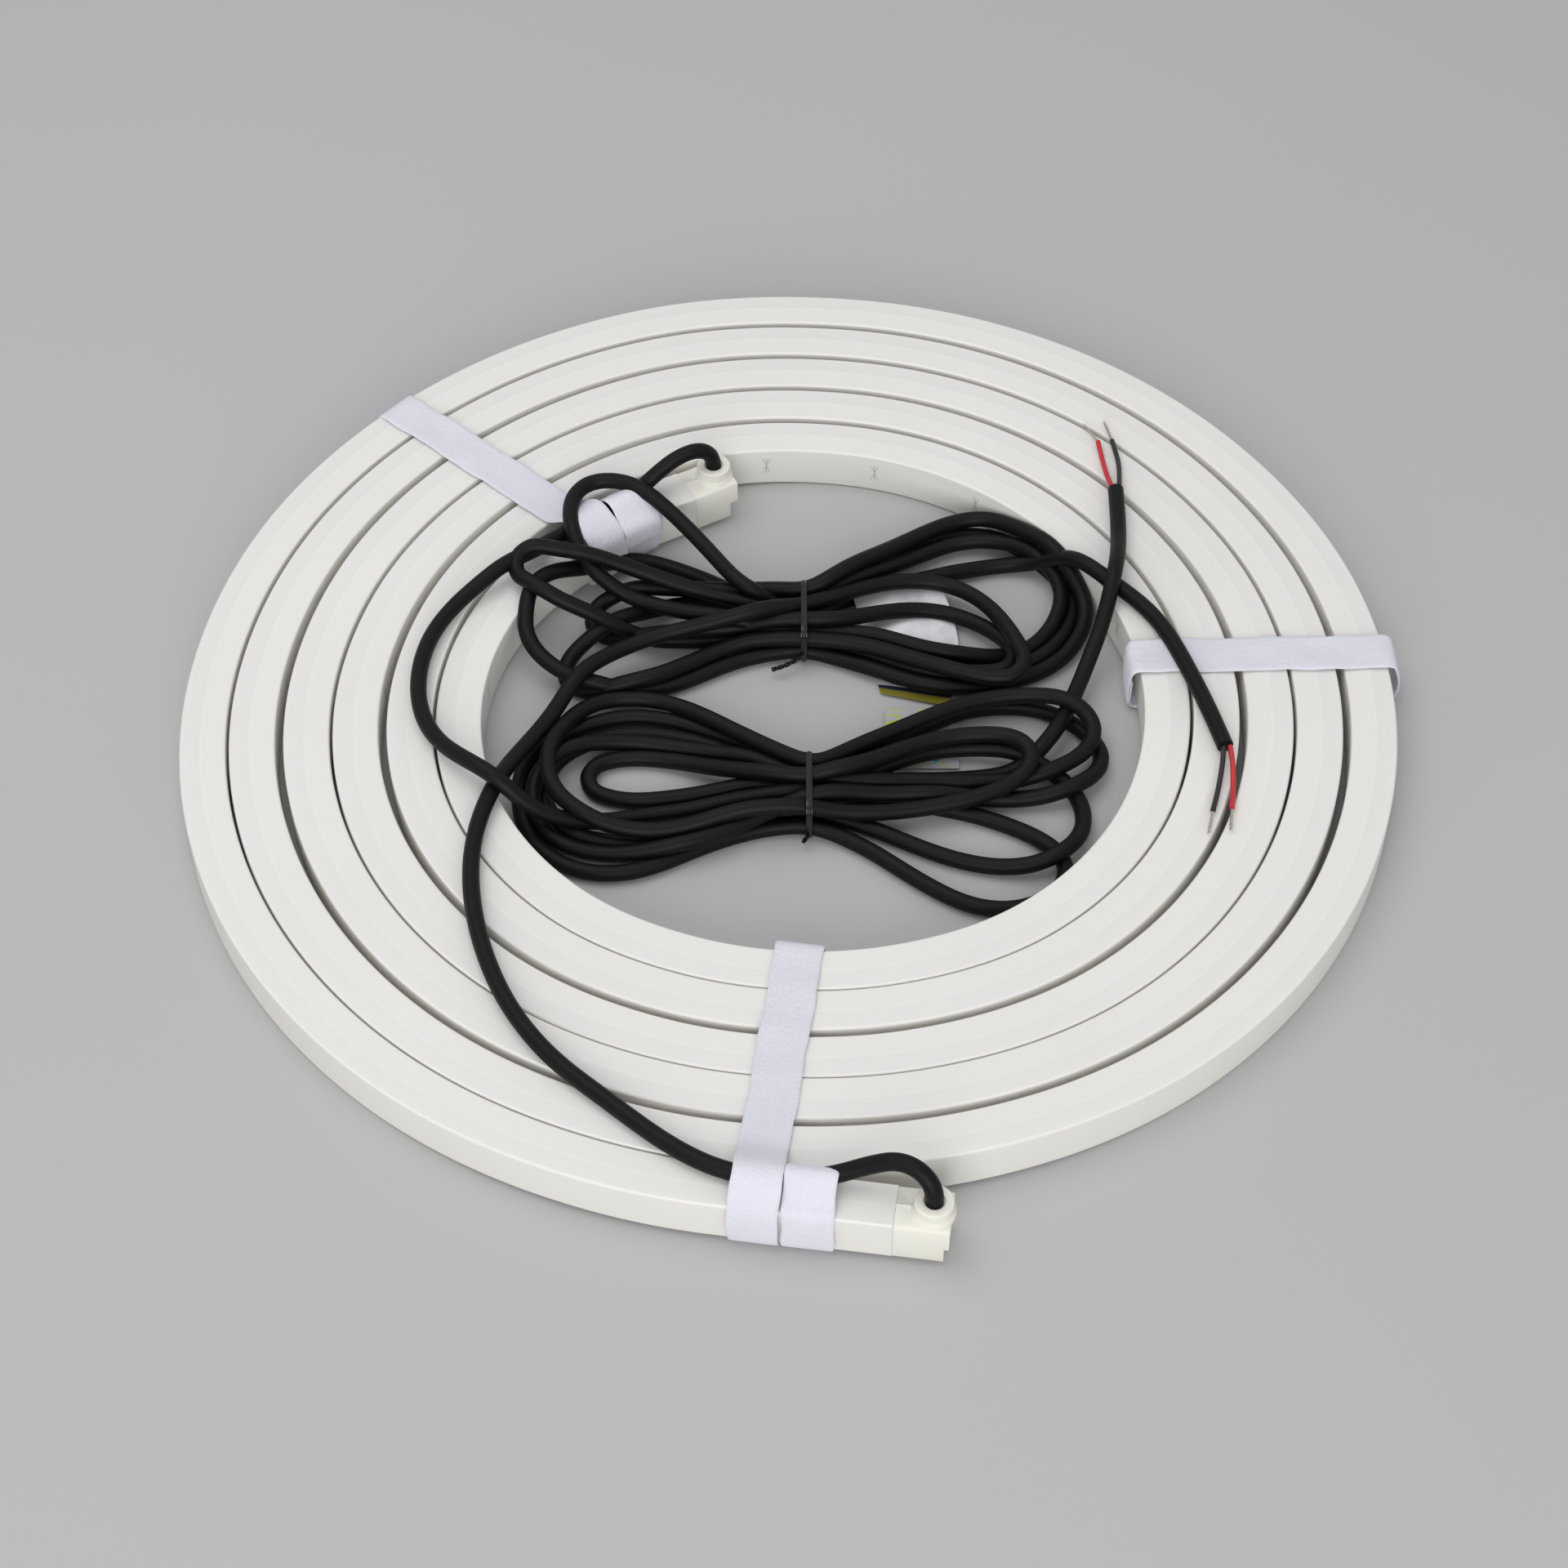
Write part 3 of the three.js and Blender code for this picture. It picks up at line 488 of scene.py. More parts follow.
innerFeed = {
    "tie": (2.3, -35.6),
    "order": "lead F r2 C -l3 E -r1 A l1 D -r3 B l4 I r4 J -l6 G r5 K -l2 H tail".split(),
    "lead": [
        (-29.2, 100.9, 20.3), (-29.4, 100.9, 23.5), (-31, 100.5, 26.8), (-34.4, 99.2, 28.8),
        (-38.5, 97.6, 28.7), (-42.8, 95.6, 27.3), (-47.2, 93.3, 25), (-51.6, 90.6, 22.2),
        (-55.6, 87.4, 20.2), (-60.6, 83, 19.5), (-70.6, 75, 19.5), (-82, 66.4, 19.5), (-96.5, 53.8, 19.5),
        (-109, 41, 19.3), (-117.6, 27, 18.8), (-121.6, 10, 18.5), (-120.6, -8, 18.5), (-116, -20, 19.4),
        (-109.6, -29, 22), (-103, -35.4, 24), (-96.5, -40.6, 24), (-90, -45.5, 21), (-85, -49.5, 19),
        (-80.5, -51.5, 17), (-75, -52, 16), (-70, -52, 14.5), (-64.5, -52, 13), (-56.5, -50, 13),
        (-49, -48, 12.5), (-44, -47, 12.3), (-36.5, -46, 12), (-27.5, -43, 12), (-18, -40, 12),
    ],
    "l1": strand(
        (15, 17, 17, 17, 17, 15),
        (-18.5, -16.5), (-31.5, -9), (-41, -4), (-47.5, -2), (-57.5, -1), (-65, -3), (-70.5, -7.5),
        (-76, -15), (-79, -22), (-80, -28), (-79.5, -34), (-77.5, -41), (-73.5, -46.5), (-68.5, -51),
        (-63, -54.5), (-56.5, -57), (-50.5, -58), (-43, -58), (-33.5, -55), (-24.5, -51), (-15, -47),
    ),
    "l2": strand(
        (6, 6, 5, 5, 6),
        (-15, -14.5), (-25, -10.5), (-31.5, -6.5), (-38, -3), (-46, -1), (-54.5, -0.5), (-61, -1.5),
        (-68, -4), (-74.5, -7.5), (-80.5, -11.5), (-85.5, -15.5), (-88.5, -21), (-89, -27), (-88, -33.5),
        (-86.5, -41.5), (-85, -48), (-83, -53.5), (-79, -58), (-74, -62), (-68, -65), (-60.5, -66),
        (-52.5, -65.5), (-43, -61.5), (-34, -56.5), (-24.5, -51.5), (-15, -48),
    ),
    "l3": strand(
        (10, 10, 9, 8, 8, 9),
        (-15, -21), (-25, -20), (-34.5, -19), (-44, -17.5), (-50.5, -16), (-60.5, -14.5), (-67.5, -14.5),
        (-73, -16), (-78, -20), (-82.5, -25.5), (-84.5, -32), (-84.5, -39.5), (-83, -46.5), (-79.5, -52),
        (-73, -56.5), (-65, -58.5), (-57, -59.5), (-49.5, -59.5), (-40, -58), (-30.5, -54.5), (-21, -50),
    ),
    "l4": strand(
        (12, 12, 11, 10, 11),
        (-18, -29.5), (-28, -28), (-37, -24), (-47, -22.5), (-56.5, -23), (-63.5, -25), (-68.5, -27.5),
        (-71, -30), (-71.5, -32.5), (-69, -35.5), (-63.5, -38.5), (-58, -40.5), (-50, -41),
        (-43.5, -39.5), (-34, -38), (-25, -36), (-15, -32),
    ),
    "l6": strand(
        (4, 3, 3, 3, 4),
        (-18.5, -15), (-28, -11), (-38, -8), (-48, -6), (-57.5, -6), (-67, -9), (-75.5, -14), (-80, -20),
        (-82, -27.5), (-81, -36), (-78, -43), (-73, -48), (-65.5, -51), (-56, -53), (-46.5, -53),
        (-34, -49.5), (-18, -43),
    ),
    "r1": strand(
        (12, 13, 13, 12, 11, 10),
        (15.5, -19.5), (24.5, -15), (34.5, -10), (43.5, -5), (53, -1), (61, 1.5), (69.5, 2.5), (76, 2.5),
        (82, 1.5), (88.5, -2), (93, -6.5), (94, -12.5), (92.5, -17.5), (88.5, -23), (83, -26.5),
        (77.5, -29.5), (69.5, -31.5), (61, -32), (51.5, -32), (39, -31.5), (26.5, -31.5),
    ),
    "r2": strand(
        (8, 9, 9, 9, 9, 9),
        (25.5, -16), (34.5, -10), (42.5, -5.5), (50.5, -1), (59.5, 1), (69.5, 1), (78, -0.5),
        (85.5, -5.5), (90, -10), (94, -14), (96, -19), (96, -23.5), (93, -28.5), (89, -32.5), (83, -35.5),
        (74, -38), (63, -38.5), (51.5, -37.5), (39, -36.5), (26.5, -36.5),
    ),
    "r3": strand(
        (14, 15, 16, 16, 16, 14),
        (25, -25.5), (31.5, -22), (39.5, -18.5), (49, -16.5), (55.5, -16.5), (62, -16.5), (68, -18.5),
        (72.5, -21.5), (74, -25.5), (73, -30), (70.5, -34), (65, -38.5), (57.5, -42.5), (48, -45.5),
        (38.5, -47), (29, -48), (19.5, -48.5),
    ),
    "r4": strand(
        (8, 9, 8, 4, 3, 3, 4),
        (25.5, -24), (30.5, -21.5), (36.5, -18.5), (43, -17), (49.5, -16.5), (59, -16.5), (66.5, -17.5),
        (73, -20.5), (78, -23.5), (83, -27.5), (86.5, -32), (88.5, -36.5), (89, -42), (87.5, -49),
        (83.5, -54.5), (78, -58.5), (69.5, -61), (60.5, -61), (51, -59.5), (41.5, -56), (33.5, -52),
        (26, -48), (20, -45),
    ),
    "r5": strand(
        (5, 5, 3, 3, 3, 3, 3),
        (23.5, -33), (33, -36), (39, -37.5), (45.5, -38.5), (52, -39.5), (58, -42), (64.5, -44.5),
        (70.5, -47.5), (76.5, -51), (81, -55.5), (83, -61), (82, -67), (78, -72.5), (72, -76),
        (65, -78.5), (56, -78), (48.5, -75.5), (41.5, -70.5), (32, -63.5), (20.5, -53.5),
    ),
    "tail": strand(
        (5, 5, 7, 10, 12, 14),
        (30, -27), (45, -28), (58.5, -27.5), (66.5, -26), (72.5, -21.5), (77.5, -16), (81, -10.5),
        (84.5, -3.5), (88, 5), (91, 13),
    ) + [
        (94, 20, 17), (97.5, 28.5, 20), (100, 38, 23), (102.5, 48, 25.2), (104, 58, 23), (105, 68, 20),
        (105.5, 78, 19), (105.7, 91.4, 18.5),
    ],
}


def routeOf(feed):
    # the strands in their order, joined through the tie
    points = []
    tieX, tieY = feed["tie"]
    for name in feed["order"]:
        if name in tieSlots:
            offset, height = tieSlots[name]
            points.append((tieX, tieY + offset, height))
        else:
            part = feed[name.lstrip("-")]
            points += part[::-1] if name.startswith("-") else part
    return np.array(points, float)


def between(first, second, low, high, spot):
    return ((high - spot) * first + (spot - low) * second) / (high - low)


def smoothLine(points, spacing, detail=24):
    # a centripetal Catmull-Rom line through the points, resampled evenly
    ends = np.vstack([2 * points[0] - points[1], points, 2 * points[-1] - points[-2]])
    knots = np.concatenate([[0], np.cumsum(np.sqrt(np.linalg.norm(np.diff(ends, axis=0), axis=1)))])
    line = []
    for at in range(1, len(ends) - 2):
        spot = np.linspace(knots[at], knots[at + 1], detail, endpoint=False)[:, None]
        one, two, three = (between(ends[k - 1], ends[k], knots[k - 1], knots[k], spot)
                           for k in (at, at + 1, at + 2))
        left = between(one, two, knots[at - 1], knots[at + 1], spot)
        right = between(two, three, knots[at], knots[at + 2], spot)
        line.append(between(left, right, knots[at], knots[at + 1], spot))
    line = np.vstack(line + [ends[-2]])
    along = np.concatenate([[0], np.cumsum(np.linalg.norm(np.diff(line, axis=0), axis=1))])
    even = np.linspace(0, along[-1], int(round(along[-1] / spacing)) + 1)
    return np.column_stack([np.interp(even, along, line[:, axis]) for axis in range(3)])


# how the cables are laid down: each round they sag, push each other apart and carry the push along
laying = {
    "rounds": 420, "quickShare": 4, "held": 11, "evening": 8, "sag": 0.25, "sagFade": 0.7, "pull": 0.12,
    "pushes": 2, "searchEvery": 8, "searchChunk": 400, "searchMargin": 3, "ownReach": 2.2,
    "alongside": 0.85, "stacked": 0.55, "mostLift": 1.5, "stiffness": 3,
    "minBend": 9, "kinkBend": 6.2, "easeShare": 0.25, "easing": 14, "easeFrom": 6, "softening": 3,
    "softFrom": 7,
}
tieHold = {"long": 4, "wide": 14, "inside": 9.7, "low": 3.7, "high": 12.4}  # half sizes, and heights
small = 1e-9  # keeps a length of nought out of a division


def holeWall(plan):
    # the inner face of the innermost turn at each point's bearing
    sweep = np.mod(np.degrees(np.arctan2(plan[:, 1], plan[:, 0])) - flex["countFrom"], 360)
    sweep = np.where(sweep < flex["sweepStart"], sweep + 360, sweep)
    return turnRadius(sweep) - flex["width"] / 2


def evenOut(line, passes=1):
    # draws each point between its neighbours, in place, and keeps the ends
    for _ in range(passes):
        line[1:-1] = 0.5 * line[1:-1] + 0.25 * (line[:-2] + line[2:])


def evenRoute(route):
    line, held = route.copy(), laying["held"]
    for _ in range(laying["evening"]):
        evenOut(line)
        line[:held] = route[:held]
    return line


def easeBends(line, radius, local):
    # opens each bend that is tighter than a radius; local steps also find a kink between close points
    for skip in (1, 2, 3):
        before, after = line[:-2 * skip], line[2 * skip:]
        bend = before - 2 * line[skip:-skip] + after
        size = np.linalg.norm(bend, axis=1) + small
        step = np.linalg.norm(after - before, axis=1) / 2 if local else skip * cable["spacing"]
        share = np.maximum(0, 1 - step ** 2 / radius / size)
        line[skip:-skip] += laying["easeShare"] * bend * share[:, None]


def nearPairs(spots, owner, order):
    # pairs of points that may touch, on two cables or well apart along one
    chunk, reach = laying["searchChunk"], int(laying["ownReach"] * cable["diameter"] / cable["spacing"]) + 1
    near = []
    for at in range(0, len(spots), chunk):
        far = np.linalg.norm(spots[at:at + chunk, None, :] - spots[None, :, :], axis=2)
        first, second = np.nonzero(far < cable["diameter"] + laying["searchMargin"])
        near.append(np.column_stack([first + at, second]))
    first, second = np.vstack(near).T
    apart = (owner[first] != owner[second]) | (np.abs(order[first] - order[second]) > reach)
    keep = (first < second) & apart
    return first[keep], second[keep]


def pushApart(spots, first, second, crossing, above):
    # moves crossing strands apart in height, and the others straight apart
    wide = cable["diameter"]
    apart = spots[first] - spots[second]
    distance = np.linalg.norm(apart, axis=1) + small
    flat = np.linalg.norm(apart[:, :2], axis=1)
    rise = np.sqrt(np.maximum(wide * wide - flat * flat, 0))
    upward = np.clip(rise - apart[:, 2] * above, 0, laying["mostLift"])
    lifted = (crossing & (flat < wide)) | (flat < laying["stacked"] * wide)
    push = apart / distance[:, None] * np.maximum(wide - distance, 0)[:, None]
    push[lifted] = 0
    push[lifted, 2] = (upward * above)[lifted]
    touching = np.abs(push).sum(1) > 0
    total, count = np.zeros_like(spots), np.zeros(len(spots))
    for side, share in ((first[touching], 0.5), (second[touching], -0.5)):
        np.add.at(total, side, push[touching] * share)
        np.add.at(count, side, 1)
    spots += total / np.maximum(1, count / 2)[:, None]


def keepOffCoil(spots):
    # a point in the coil goes up onto it or in to the hole's wall, whichever is nearer
    half = cable["diameter"] / 2
    radius = np.hypot(spots[:, 0], spots[:, 1])
    wall = holeWall(spots) - half
    inward = radius - wall
    upward = coilTop + half - spots[:, 2]
    hit = (inward > 0) & (upward > 0)
    byUp = hit & (upward < inward)
    byIn = hit & ~byUp
    spots[byUp, 2] += upward[byUp]
    spots[byIn, :2] *= (wall[byIn] / radius[byIn])[:, None]


def restingFloor(home, plates):
    # the lowest that each point may lie, on the floor or on a plate
    half = cable["diameter"] / 2
    floor = np.full(len(home), half)
    for part in plates:
        low, high = np.array(part["low"]) - half, np.array(part["high"]) + half
        over = np.all((home[:, :2] > low) & (home[:, :2] < high), axis=1)
        floor[over] = half + part["top"]
    return floor


def finishLine(line):
    # softens a settled line and opens its kinks, past the bend at the cap
    evenOut(line[laying["softFrom"]:], laying["softening"])
    for _ in range(laying["easing"]):
        easeBends(line[laying["easeFrom"]:], laying["kinkBend"], True)
    line[:, 2] = np.maximum(line[:, 2], cable["diameter"] / 2)
    return line


def settle(routes, ties, plates):
    # lays the cables on the floor, the coil and each other, each point on its line of sight
    home = np.vstack([evenRoute(route) for route in routes])
    owner = np.concatenate([np.full(len(route), at) for at, route in enumerate(routes)])
    order = np.concatenate([np.arange(len(route)) for route in routes])
    spots, held = home.copy(), order < laying["held"]
    eye = np.array([view["x"], view["y"], view["z"]])
    sight = (eye - home) / (eye[2] - home[:, 2:3])
    inTie = [(np.abs(home[:, 0] - x) < tieHold["long"]) & (np.abs(home[:, 1] - y) < tieHold["wide"])
             for x, y in ties]
    floor = restingFloor(home, plates)
    rounds = laying["rounds"]
    for step in range(rounds):
        if step % laying["searchEvery"] == 0:
            first, second = nearPairs(spots, owner, order)
            slopes = [np.gradient(spots[owner == at], axis=0) for at in range(len(routes))]
            along = unitRows(np.vstack(slopes))
            crossing = np.abs((along[first] * along[second]).sum(1)) < laying["alongside"]
            above = np.where(home[first, 2] < home[second, 2], -1.0, 1.0)
        spots[:, 2] -= laying["sag"] * (1 - laying["sagFade"] * step / rounds)
        target = home[:, :2] + (spots[:, 2:3] - home[:, 2:3]) * sight[:, :2]
        spots[:, :2] += laying["pull"] * (target - spots[:, :2])
        for _ in range(laying["pushes"]):
            pushApart(spots, first, second, crossing, above)
            spots[:, 2] = np.maximum(spots[:, 2], floor)
            keepOffCoil(spots)
        shift = spots - home
        for at in range(len(routes)):
            mine = owner == at
            part = shift[mine]
            evenOut(part, laying["stiffness"])
            line = home[mine] + part
            easeBends(line, laying["minBend"], False)
            spots[mine] = line
        for (_, y), inside in zip(ties, inTie):
            spots[inside, 1] = np.clip(spots[inside, 1], y - tieHold["inside"], y + tieHold["inside"])
            spots[inside, 2] = np.clip(spots[inside, 2], tieHold["low"], tieHold["high"])
        spots[held] = home[held]
        spots[:, 2] = np.maximum(spots[:, 2], floor)
    return [finishLine(spots[owner == at]) for at in range(len(routes))]


# what the cables lie on besides the floor
label = {"low": (24, 13), "high": (50, 63), "top": 1.2}
tag = {"low": (26, -19), "high": (50.5, 8), "top": 1.2}
feeds = {"outer_feed_cable": outerFeed, "inner_feed_cable": innerFeed}
lines = settle([smoothLine(routeOf(feed), cable["spacing"]) for feed in feeds.values()],
               [feed["tie"] for feed in feeds.values()], (label, tag))
cables = {}
for name, line in zip(feeds, lines):
    cables[name] = curvePiece(name, placeAll(line), cable["diameter"] / 2)
    print("laid", name, round(lineLength(line)), "mm")
ready(cables["outer_feed_cable"], "black_jacket", cableJacket, "outer_feed_lead", "outer_feed_loop_tall",
      "outer_feed_loop_left", "outer_feed_hank", "outer_feed_tail")
ready(cables["inner_feed_cable"], "black_jacket", cableJacket, "inner_feed_lead", "inner_feed_hank",
      "inner_feed_tail")


# stripped ends: insulated cores out of each jacket, with bare twisted strands at their tips
core = {"diameter": 1.7, "step": 1.5}
wire = {"diameter": 1.0, "strands": 7, "strandDiameter": 0.34, "turnLength": 6, "points": 14, "fray": 0.35,
        "frayTurn": 2.4, "stagger": 0.03}
coreRoutes = {
    "outer_feed_core_black": [(131.2, -25.9, 19.3), (130.4, -32, 18.4), (128.2, -42, 17), (126, -50, 16.8)],
    "outer_feed_core_red": [(133.3, -25.4, 19.3), (133.6, -32, 18.4), (133, -41, 17), (132, -49, 16.8)],
    "inner_feed_core_red": [(104.8, 91.4, 18.5), (103.6, 98, 17.6), (102.6, 107, 16.5), (101.6, 117, 16.5)],
    "inner_feed_core_black": [(106.9, 91.4, 18.5), (107.5, 98, 17.6), (107.8, 107, 16.5),
                              (106.4, 117.6, 16.5)],
}
wireRoutes = {
    "outer_feed_wire_black": [(125.9, -50.4, 16.8), (124, -58.6, 16.6)],
    "outer_feed_wire_red": [(131.95, -49.4, 16.8), (130.8, -57.4, 16.6)],
    "inner_feed_wire_red": [(101.5, 117.4, 16.5), (97.4, 125.8, 16.3)],
    "inner_feed_wire_black": [(106.3, 118, 16.5), (104.4, 127.2, 16.3)],
}


def makeCore(name):
    line = smoothLine(np.array(coreRoutes[name], float), core["step"])
    piece = asMesh(curvePiece(name + "_insulation", placeAll(line), core["diameter"] / 2))
    red = "red" in name
    ready(piece, "red_insulation" if red else "black_insulation", redCore if red else blackCore, name)
    smoothShade(piece)
    return piece


def wireStrand(number, start, end):
    # one strand of the twist, a little frayed and shortened at its tip
    length = np.linalg.norm(end - start)
    along = (end - start) / length
    side = np.cross(along, (0, 0, 1))
    side /= np.linalg.norm(side)
    up = np.cross(side, along)
    out = 0 if number == 0 else (wire["diameter"] - wire["strandDiameter"]) / 2
    spots = []
    for share in np.linspace(0, 1, wire["points"]):
        turn = 2 * math.pi * (number / (wire["strands"] - 1) + share * length / wire["turnLength"])
        fray = out * (1 + wire["fray"] * share * share * math.sin(wire["frayTurn"] * number))
        ahead = along * length * share * (1 - wire["stagger"] * (number % 3))
        spots.append(start + ahead + fray * (side * math.cos(turn) + up * math.sin(turn)))
    return spots


def makeWire(name):
    start, end = (np.array(spot) for spot in wireRoutes[name])
    strands = [asMesh(curvePiece(f"{name}_{number}", placeAll(wireStrand(number, start, end)),
                                 wire["strandDiameter"] / 2, sides=1, detail=1))
               for number in range(wire["strands"])]
    piece = joinPieces(strands)
    piece.name = name + "_strands"
    ready(piece, "tinned_copper", tinnedWire, name)
    smoothShade(piece, 60)
    return piece


cores = {name: makeCore(name) for name in coreRoutes}
wires = {name: makeWire(name) for name in wireRoutes}
print("stripped ends made")


# neon flex: one cut unit, repeated along the winding and bent to it
# the map's second axis runs up the inner wall, over the top, down the outer wall and back underneath
sectionMap = {"top": 0.25, "outer": 0.6, "bottom": 0.85, "rim": 0.1}


def flexShare(y, z):
    half, high = flex["width"] / 2, flex["height"]
    top, outer, bottom = (sectionMap[key] for key in ("top", "outer", "bottom"))
    inside = abs(y) < half - sectionMap["rim"]
    if z > high - flex["corner"] and inside:
        return top + (outer - top) * (half - y) / (2 * half)
    if z < flex["corner"] and inside:
        return bottom + (1 - bottom) * (half + y) / (2 * half)
    return top * z / high if y > 0 else outer + (bottom - outer) * (1 - z / high)


def addFlexMap(data):
    while data.uv_layers:
        data.uv_layers.remove(data.uv_layers[0])
    layer = data.uv_layers.new(name="flexMap")
    for polygon in data.polygons:
        bottom = polygon.normal.z < -0.5
        for loop in polygon.loop_indices:
            spot = data.vertices[data.loops[loop].vertex_index].co / mm
            share = flexShare(spot.y, spot.z)
            if bottom and share < sectionMap["top"]:
                share = 1.0
            layer.data[loop].uv = (spot.x / flex["unitLength"], share)


def makeFlexUnit():
    long, wide, high = (flex[key] * mm for key in ("unitLength", "width", "height"))
    bpy.ops.mesh.primitive_cube_add(size=1, location=(long / 2, 0, high / 2))
    unit = bpy.context.object
    unit.scale = (long, wide, high)
    bpy.ops.object.transform_apply(location=True, rotation=True, scale=True)
    editAll(unit)
    selectIn(lambda face: abs(face.normal.x) > 0.9, "FACE")
    bpy.ops.mesh.delete(type="ONLY_FACE")
    selectIn(lambda edge: abs(edge.verts[0].co.x - edge.verts[1].co.x) > long / 2, "EDGE")
    bpy.ops.mesh.bevel(offset=flex["corner"] * mm, segments=4)
    ridge = -flex["ridgeOffset"] * mm
    for side in (-0.5, 0, 0.5):
        cutAcross((0, ridge + side * flex["ridgeWidth"] * mm, 0), (0, 1, 0))
    selectIn(lambda vert: abs(vert.co.y - ridge) < tiny and vert.co.z > high / 2, "VERT")
    bpy.ops.transform.translate(value=(0, 0, flex["ridgeHeight"] * mm))
    for step in range(1, flex["unitSteps"]):
        cutAcross((long * step / flex["unitSteps"], 0, 0), (1, 0, 0))
    turnFacesOut()
    leaveEdit()
    addFlexMap(unit.data)
    return unit


def makeFlex():
    line = windingLine()
    length = lineLength(line)
    piece = makeFlexUnit()
    piece.name = "neon_flex_length"
    rows = piece.modifiers.new("rows", "ARRAY")
    rows.count = math.ceil(length / flex["unitLength"])
    rows.use_relative_offset = False
    rows.use_constant_offset = True
    rows.constant_offset_displace = (flex["unitLength"] * mm, 0, 0)
    rows.use_merge_vertices = True
    rows.merge_threshold = tiny
    rows.offset_u = 1.0
    applyAll(piece)
    editAll(piece)
    cutAcross((length * mm, 0, 0), (1, 0, 0), clear_outer=True)
    selectIn(lambda edge: edge.is_boundary, "EDGE")
    bpy.ops.mesh.fill_holes(sides=0)
    leaveEdit()
    path = curvePiece("winding_line", placeAll(line), 0, kind="POLY")
    path.data.twist_mode = "Z_UP"
    path.data.use_fill_caps = False
    bend = piece.modifiers.new("bend", "CURVE")
    bend.object = path
    bend.deform_axis = "POS_X"
    applyAll(piece)
    bpy.data.objects.remove(path)
    smoothShade(piece, 35)
    faces = piece.modifiers.new("faces", "WEIGHTED_NORMAL")
    faces.weight = 100
    faces.keep_sharp = True
    applyAll(piece)
    return piece


# tones round the section: inner wall, inner part of the top, ridge, outer part of the top, outer wall; the
# ridge has a painted highlight with a painted shade line just outside it, and the walls and underside are
# painted darker than the top, darker towards the bottom, as painted shade
flexTonesWithPaintedLight = [(0.0, (0.80, 0.78, 0.735)), (0.235, (0.81, 0.795, 0.755)), (0.26, (0.835, 0.82, 0.785)),
             (0.415, (0.84, 0.825, 0.795)), (0.437, (0.855, 0.845, 0.82)), (0.455, (0.81, 0.795, 0.765)),
             (0.585, (0.825, 0.81, 0.785)), (0.61, (0.80, 0.78, 0.74)), (1.0, (0.78, 0.755, 0.71))]
# a small grey mark on the inner wall in each unit; along and up are places on the map
cutMark = {"along": 0.87, "up": 0.135, "slope": 0.42, "line": 0.17, "tall": 6.4, "strength": 0.75,
           "colour": (0.36, 0.36, 0.37)}


def distanceFrom(tree, source, middle, scale):
    return maths(tree, "ABSOLUTE", maths(tree, "MULTIPLY", maths(tree, "ADD", source, -middle), scale))


def cutMarkMask(tree, along, up):
    # a cross with a line through it
    side = distanceFrom(tree, maths(tree, "FRACT", along), cutMark["along"], flex["unitLength"])
    rise = distanceFrom(tree, up, cutMark["up"], flex["height"] / sectionMap["top"])
    slant = maths(tree, "SUBTRACT", side, maths(tree, "MULTIPLY", rise, cutMark["slope"]))
    cross = maths(tree, "LESS_THAN", maths(tree, "ABSOLUTE", slant), cutMark["line"])
    upright = maths(tree, "LESS_THAN", side, cutMark["line"])
    within = maths(tree, "LESS_THAN", rise, cutMark["tall"] / 2)
    mark = maths(tree, "MULTIPLY", maths(tree, "MAXIMUM", cross, upright), within)
    return maths(tree, "MULTIPLY", mark, cutMark["strength"])


def makeFlexSilicone():
    material, tree, shader = startMaterial("flexSilicone", 0.55, Specular_IOR_Level=0.3,
                                           Subsurface_Weight=0.12, Subsurface_Scale=0.004)
    shader.inputs["Subsurface Radius"].default_value = (1, 0.8, 0.6)
    grain = addGroup(tree, surfaceGrain, Fine_Scale=1500, Slow_Scale=22)
    parts = splitParts(tree, addMap(tree, "flexMap"))
    shade = mixColour(tree, grain["Shade"], (0.955, 0.955, 0.95), (1.0, 1.0, 1.0))
    # the ramp round the section paints the ridge highlight, the shade line beside it and the shaded, darker
    # walls and underside
    colour = mixColour(tree, 1.0, addRamp(tree, parts["Y"], flexTonesWithPaintedLight), shade, "MULTIPLY")
    colour = mixColour(tree, cutMarkMask(tree, parts["X"], parts["Y"]), colour, cutMark["colour"])
    specks = addGroup(tree, dustSpecks, Amount=0.25, Scale=420)
    colour = mixColour(tree, specks["Mask"], colour, (0.45, 0.42, 0.38))
    tree.links.new(colour, shader.inputs["Base Color"])
    tree.links.new(mapRange(tree, grain["Shade"], start=0.5, end=0.62), shader.inputs["Roughness"])
    addBump(tree, shader, grain["Height"], 0.12)
    return material


flexPiece = makeFlex()
ready(flexPiece, "white_silicone", makeFlexSilicone(), "neon_flex")
print("flex wound", len(flexPiece.data.polygons), "faces")


# end caps: the moulded blocks with softened edges
capEdge = {"width": 0.45, "segments": 3, "angle": 30}


def makeCap(node):
    piece = newPiece(node + "_moulded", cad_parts[node].data.copy())
    editAll(piece)
    bpy.ops.mesh.remove_doubles(threshold=tiny)
    bpy.ops.mesh.dissolve_limited(angle_limit=math.radians(1))
    leaveEdit()
    edge = piece.modifiers.new("edge", "BEVEL")
    edge.width = capEdge["width"] * mm
    edge.segments = capEdge["segments"]
    edge.limit_method = "ANGLE"
    edge.angle_limit = math.radians(capEdge["angle"])
    edge.use_clamp_overlap = True
    applyAll(piece)
    smoothShade(piece)
    ready(piece, "cream_silicone", capSilicone, node)


for node in ("outer_end_cap", "inner_end_cap"):
    makeCap(node)
print("caps made")


# straps of hook-and-loop tape: each goes round its turns and is pressed on itself where it ends
strap = {"thickness": 0.8, "corner": 2.2, "step": 1.6, "across": 8, "floor": 0.42, "top": 17.12,
         "topStep": 2.0, "floorStep": 8.0, "humpRise": 6.2, "dip": 0.12, "clearance": 0.05}
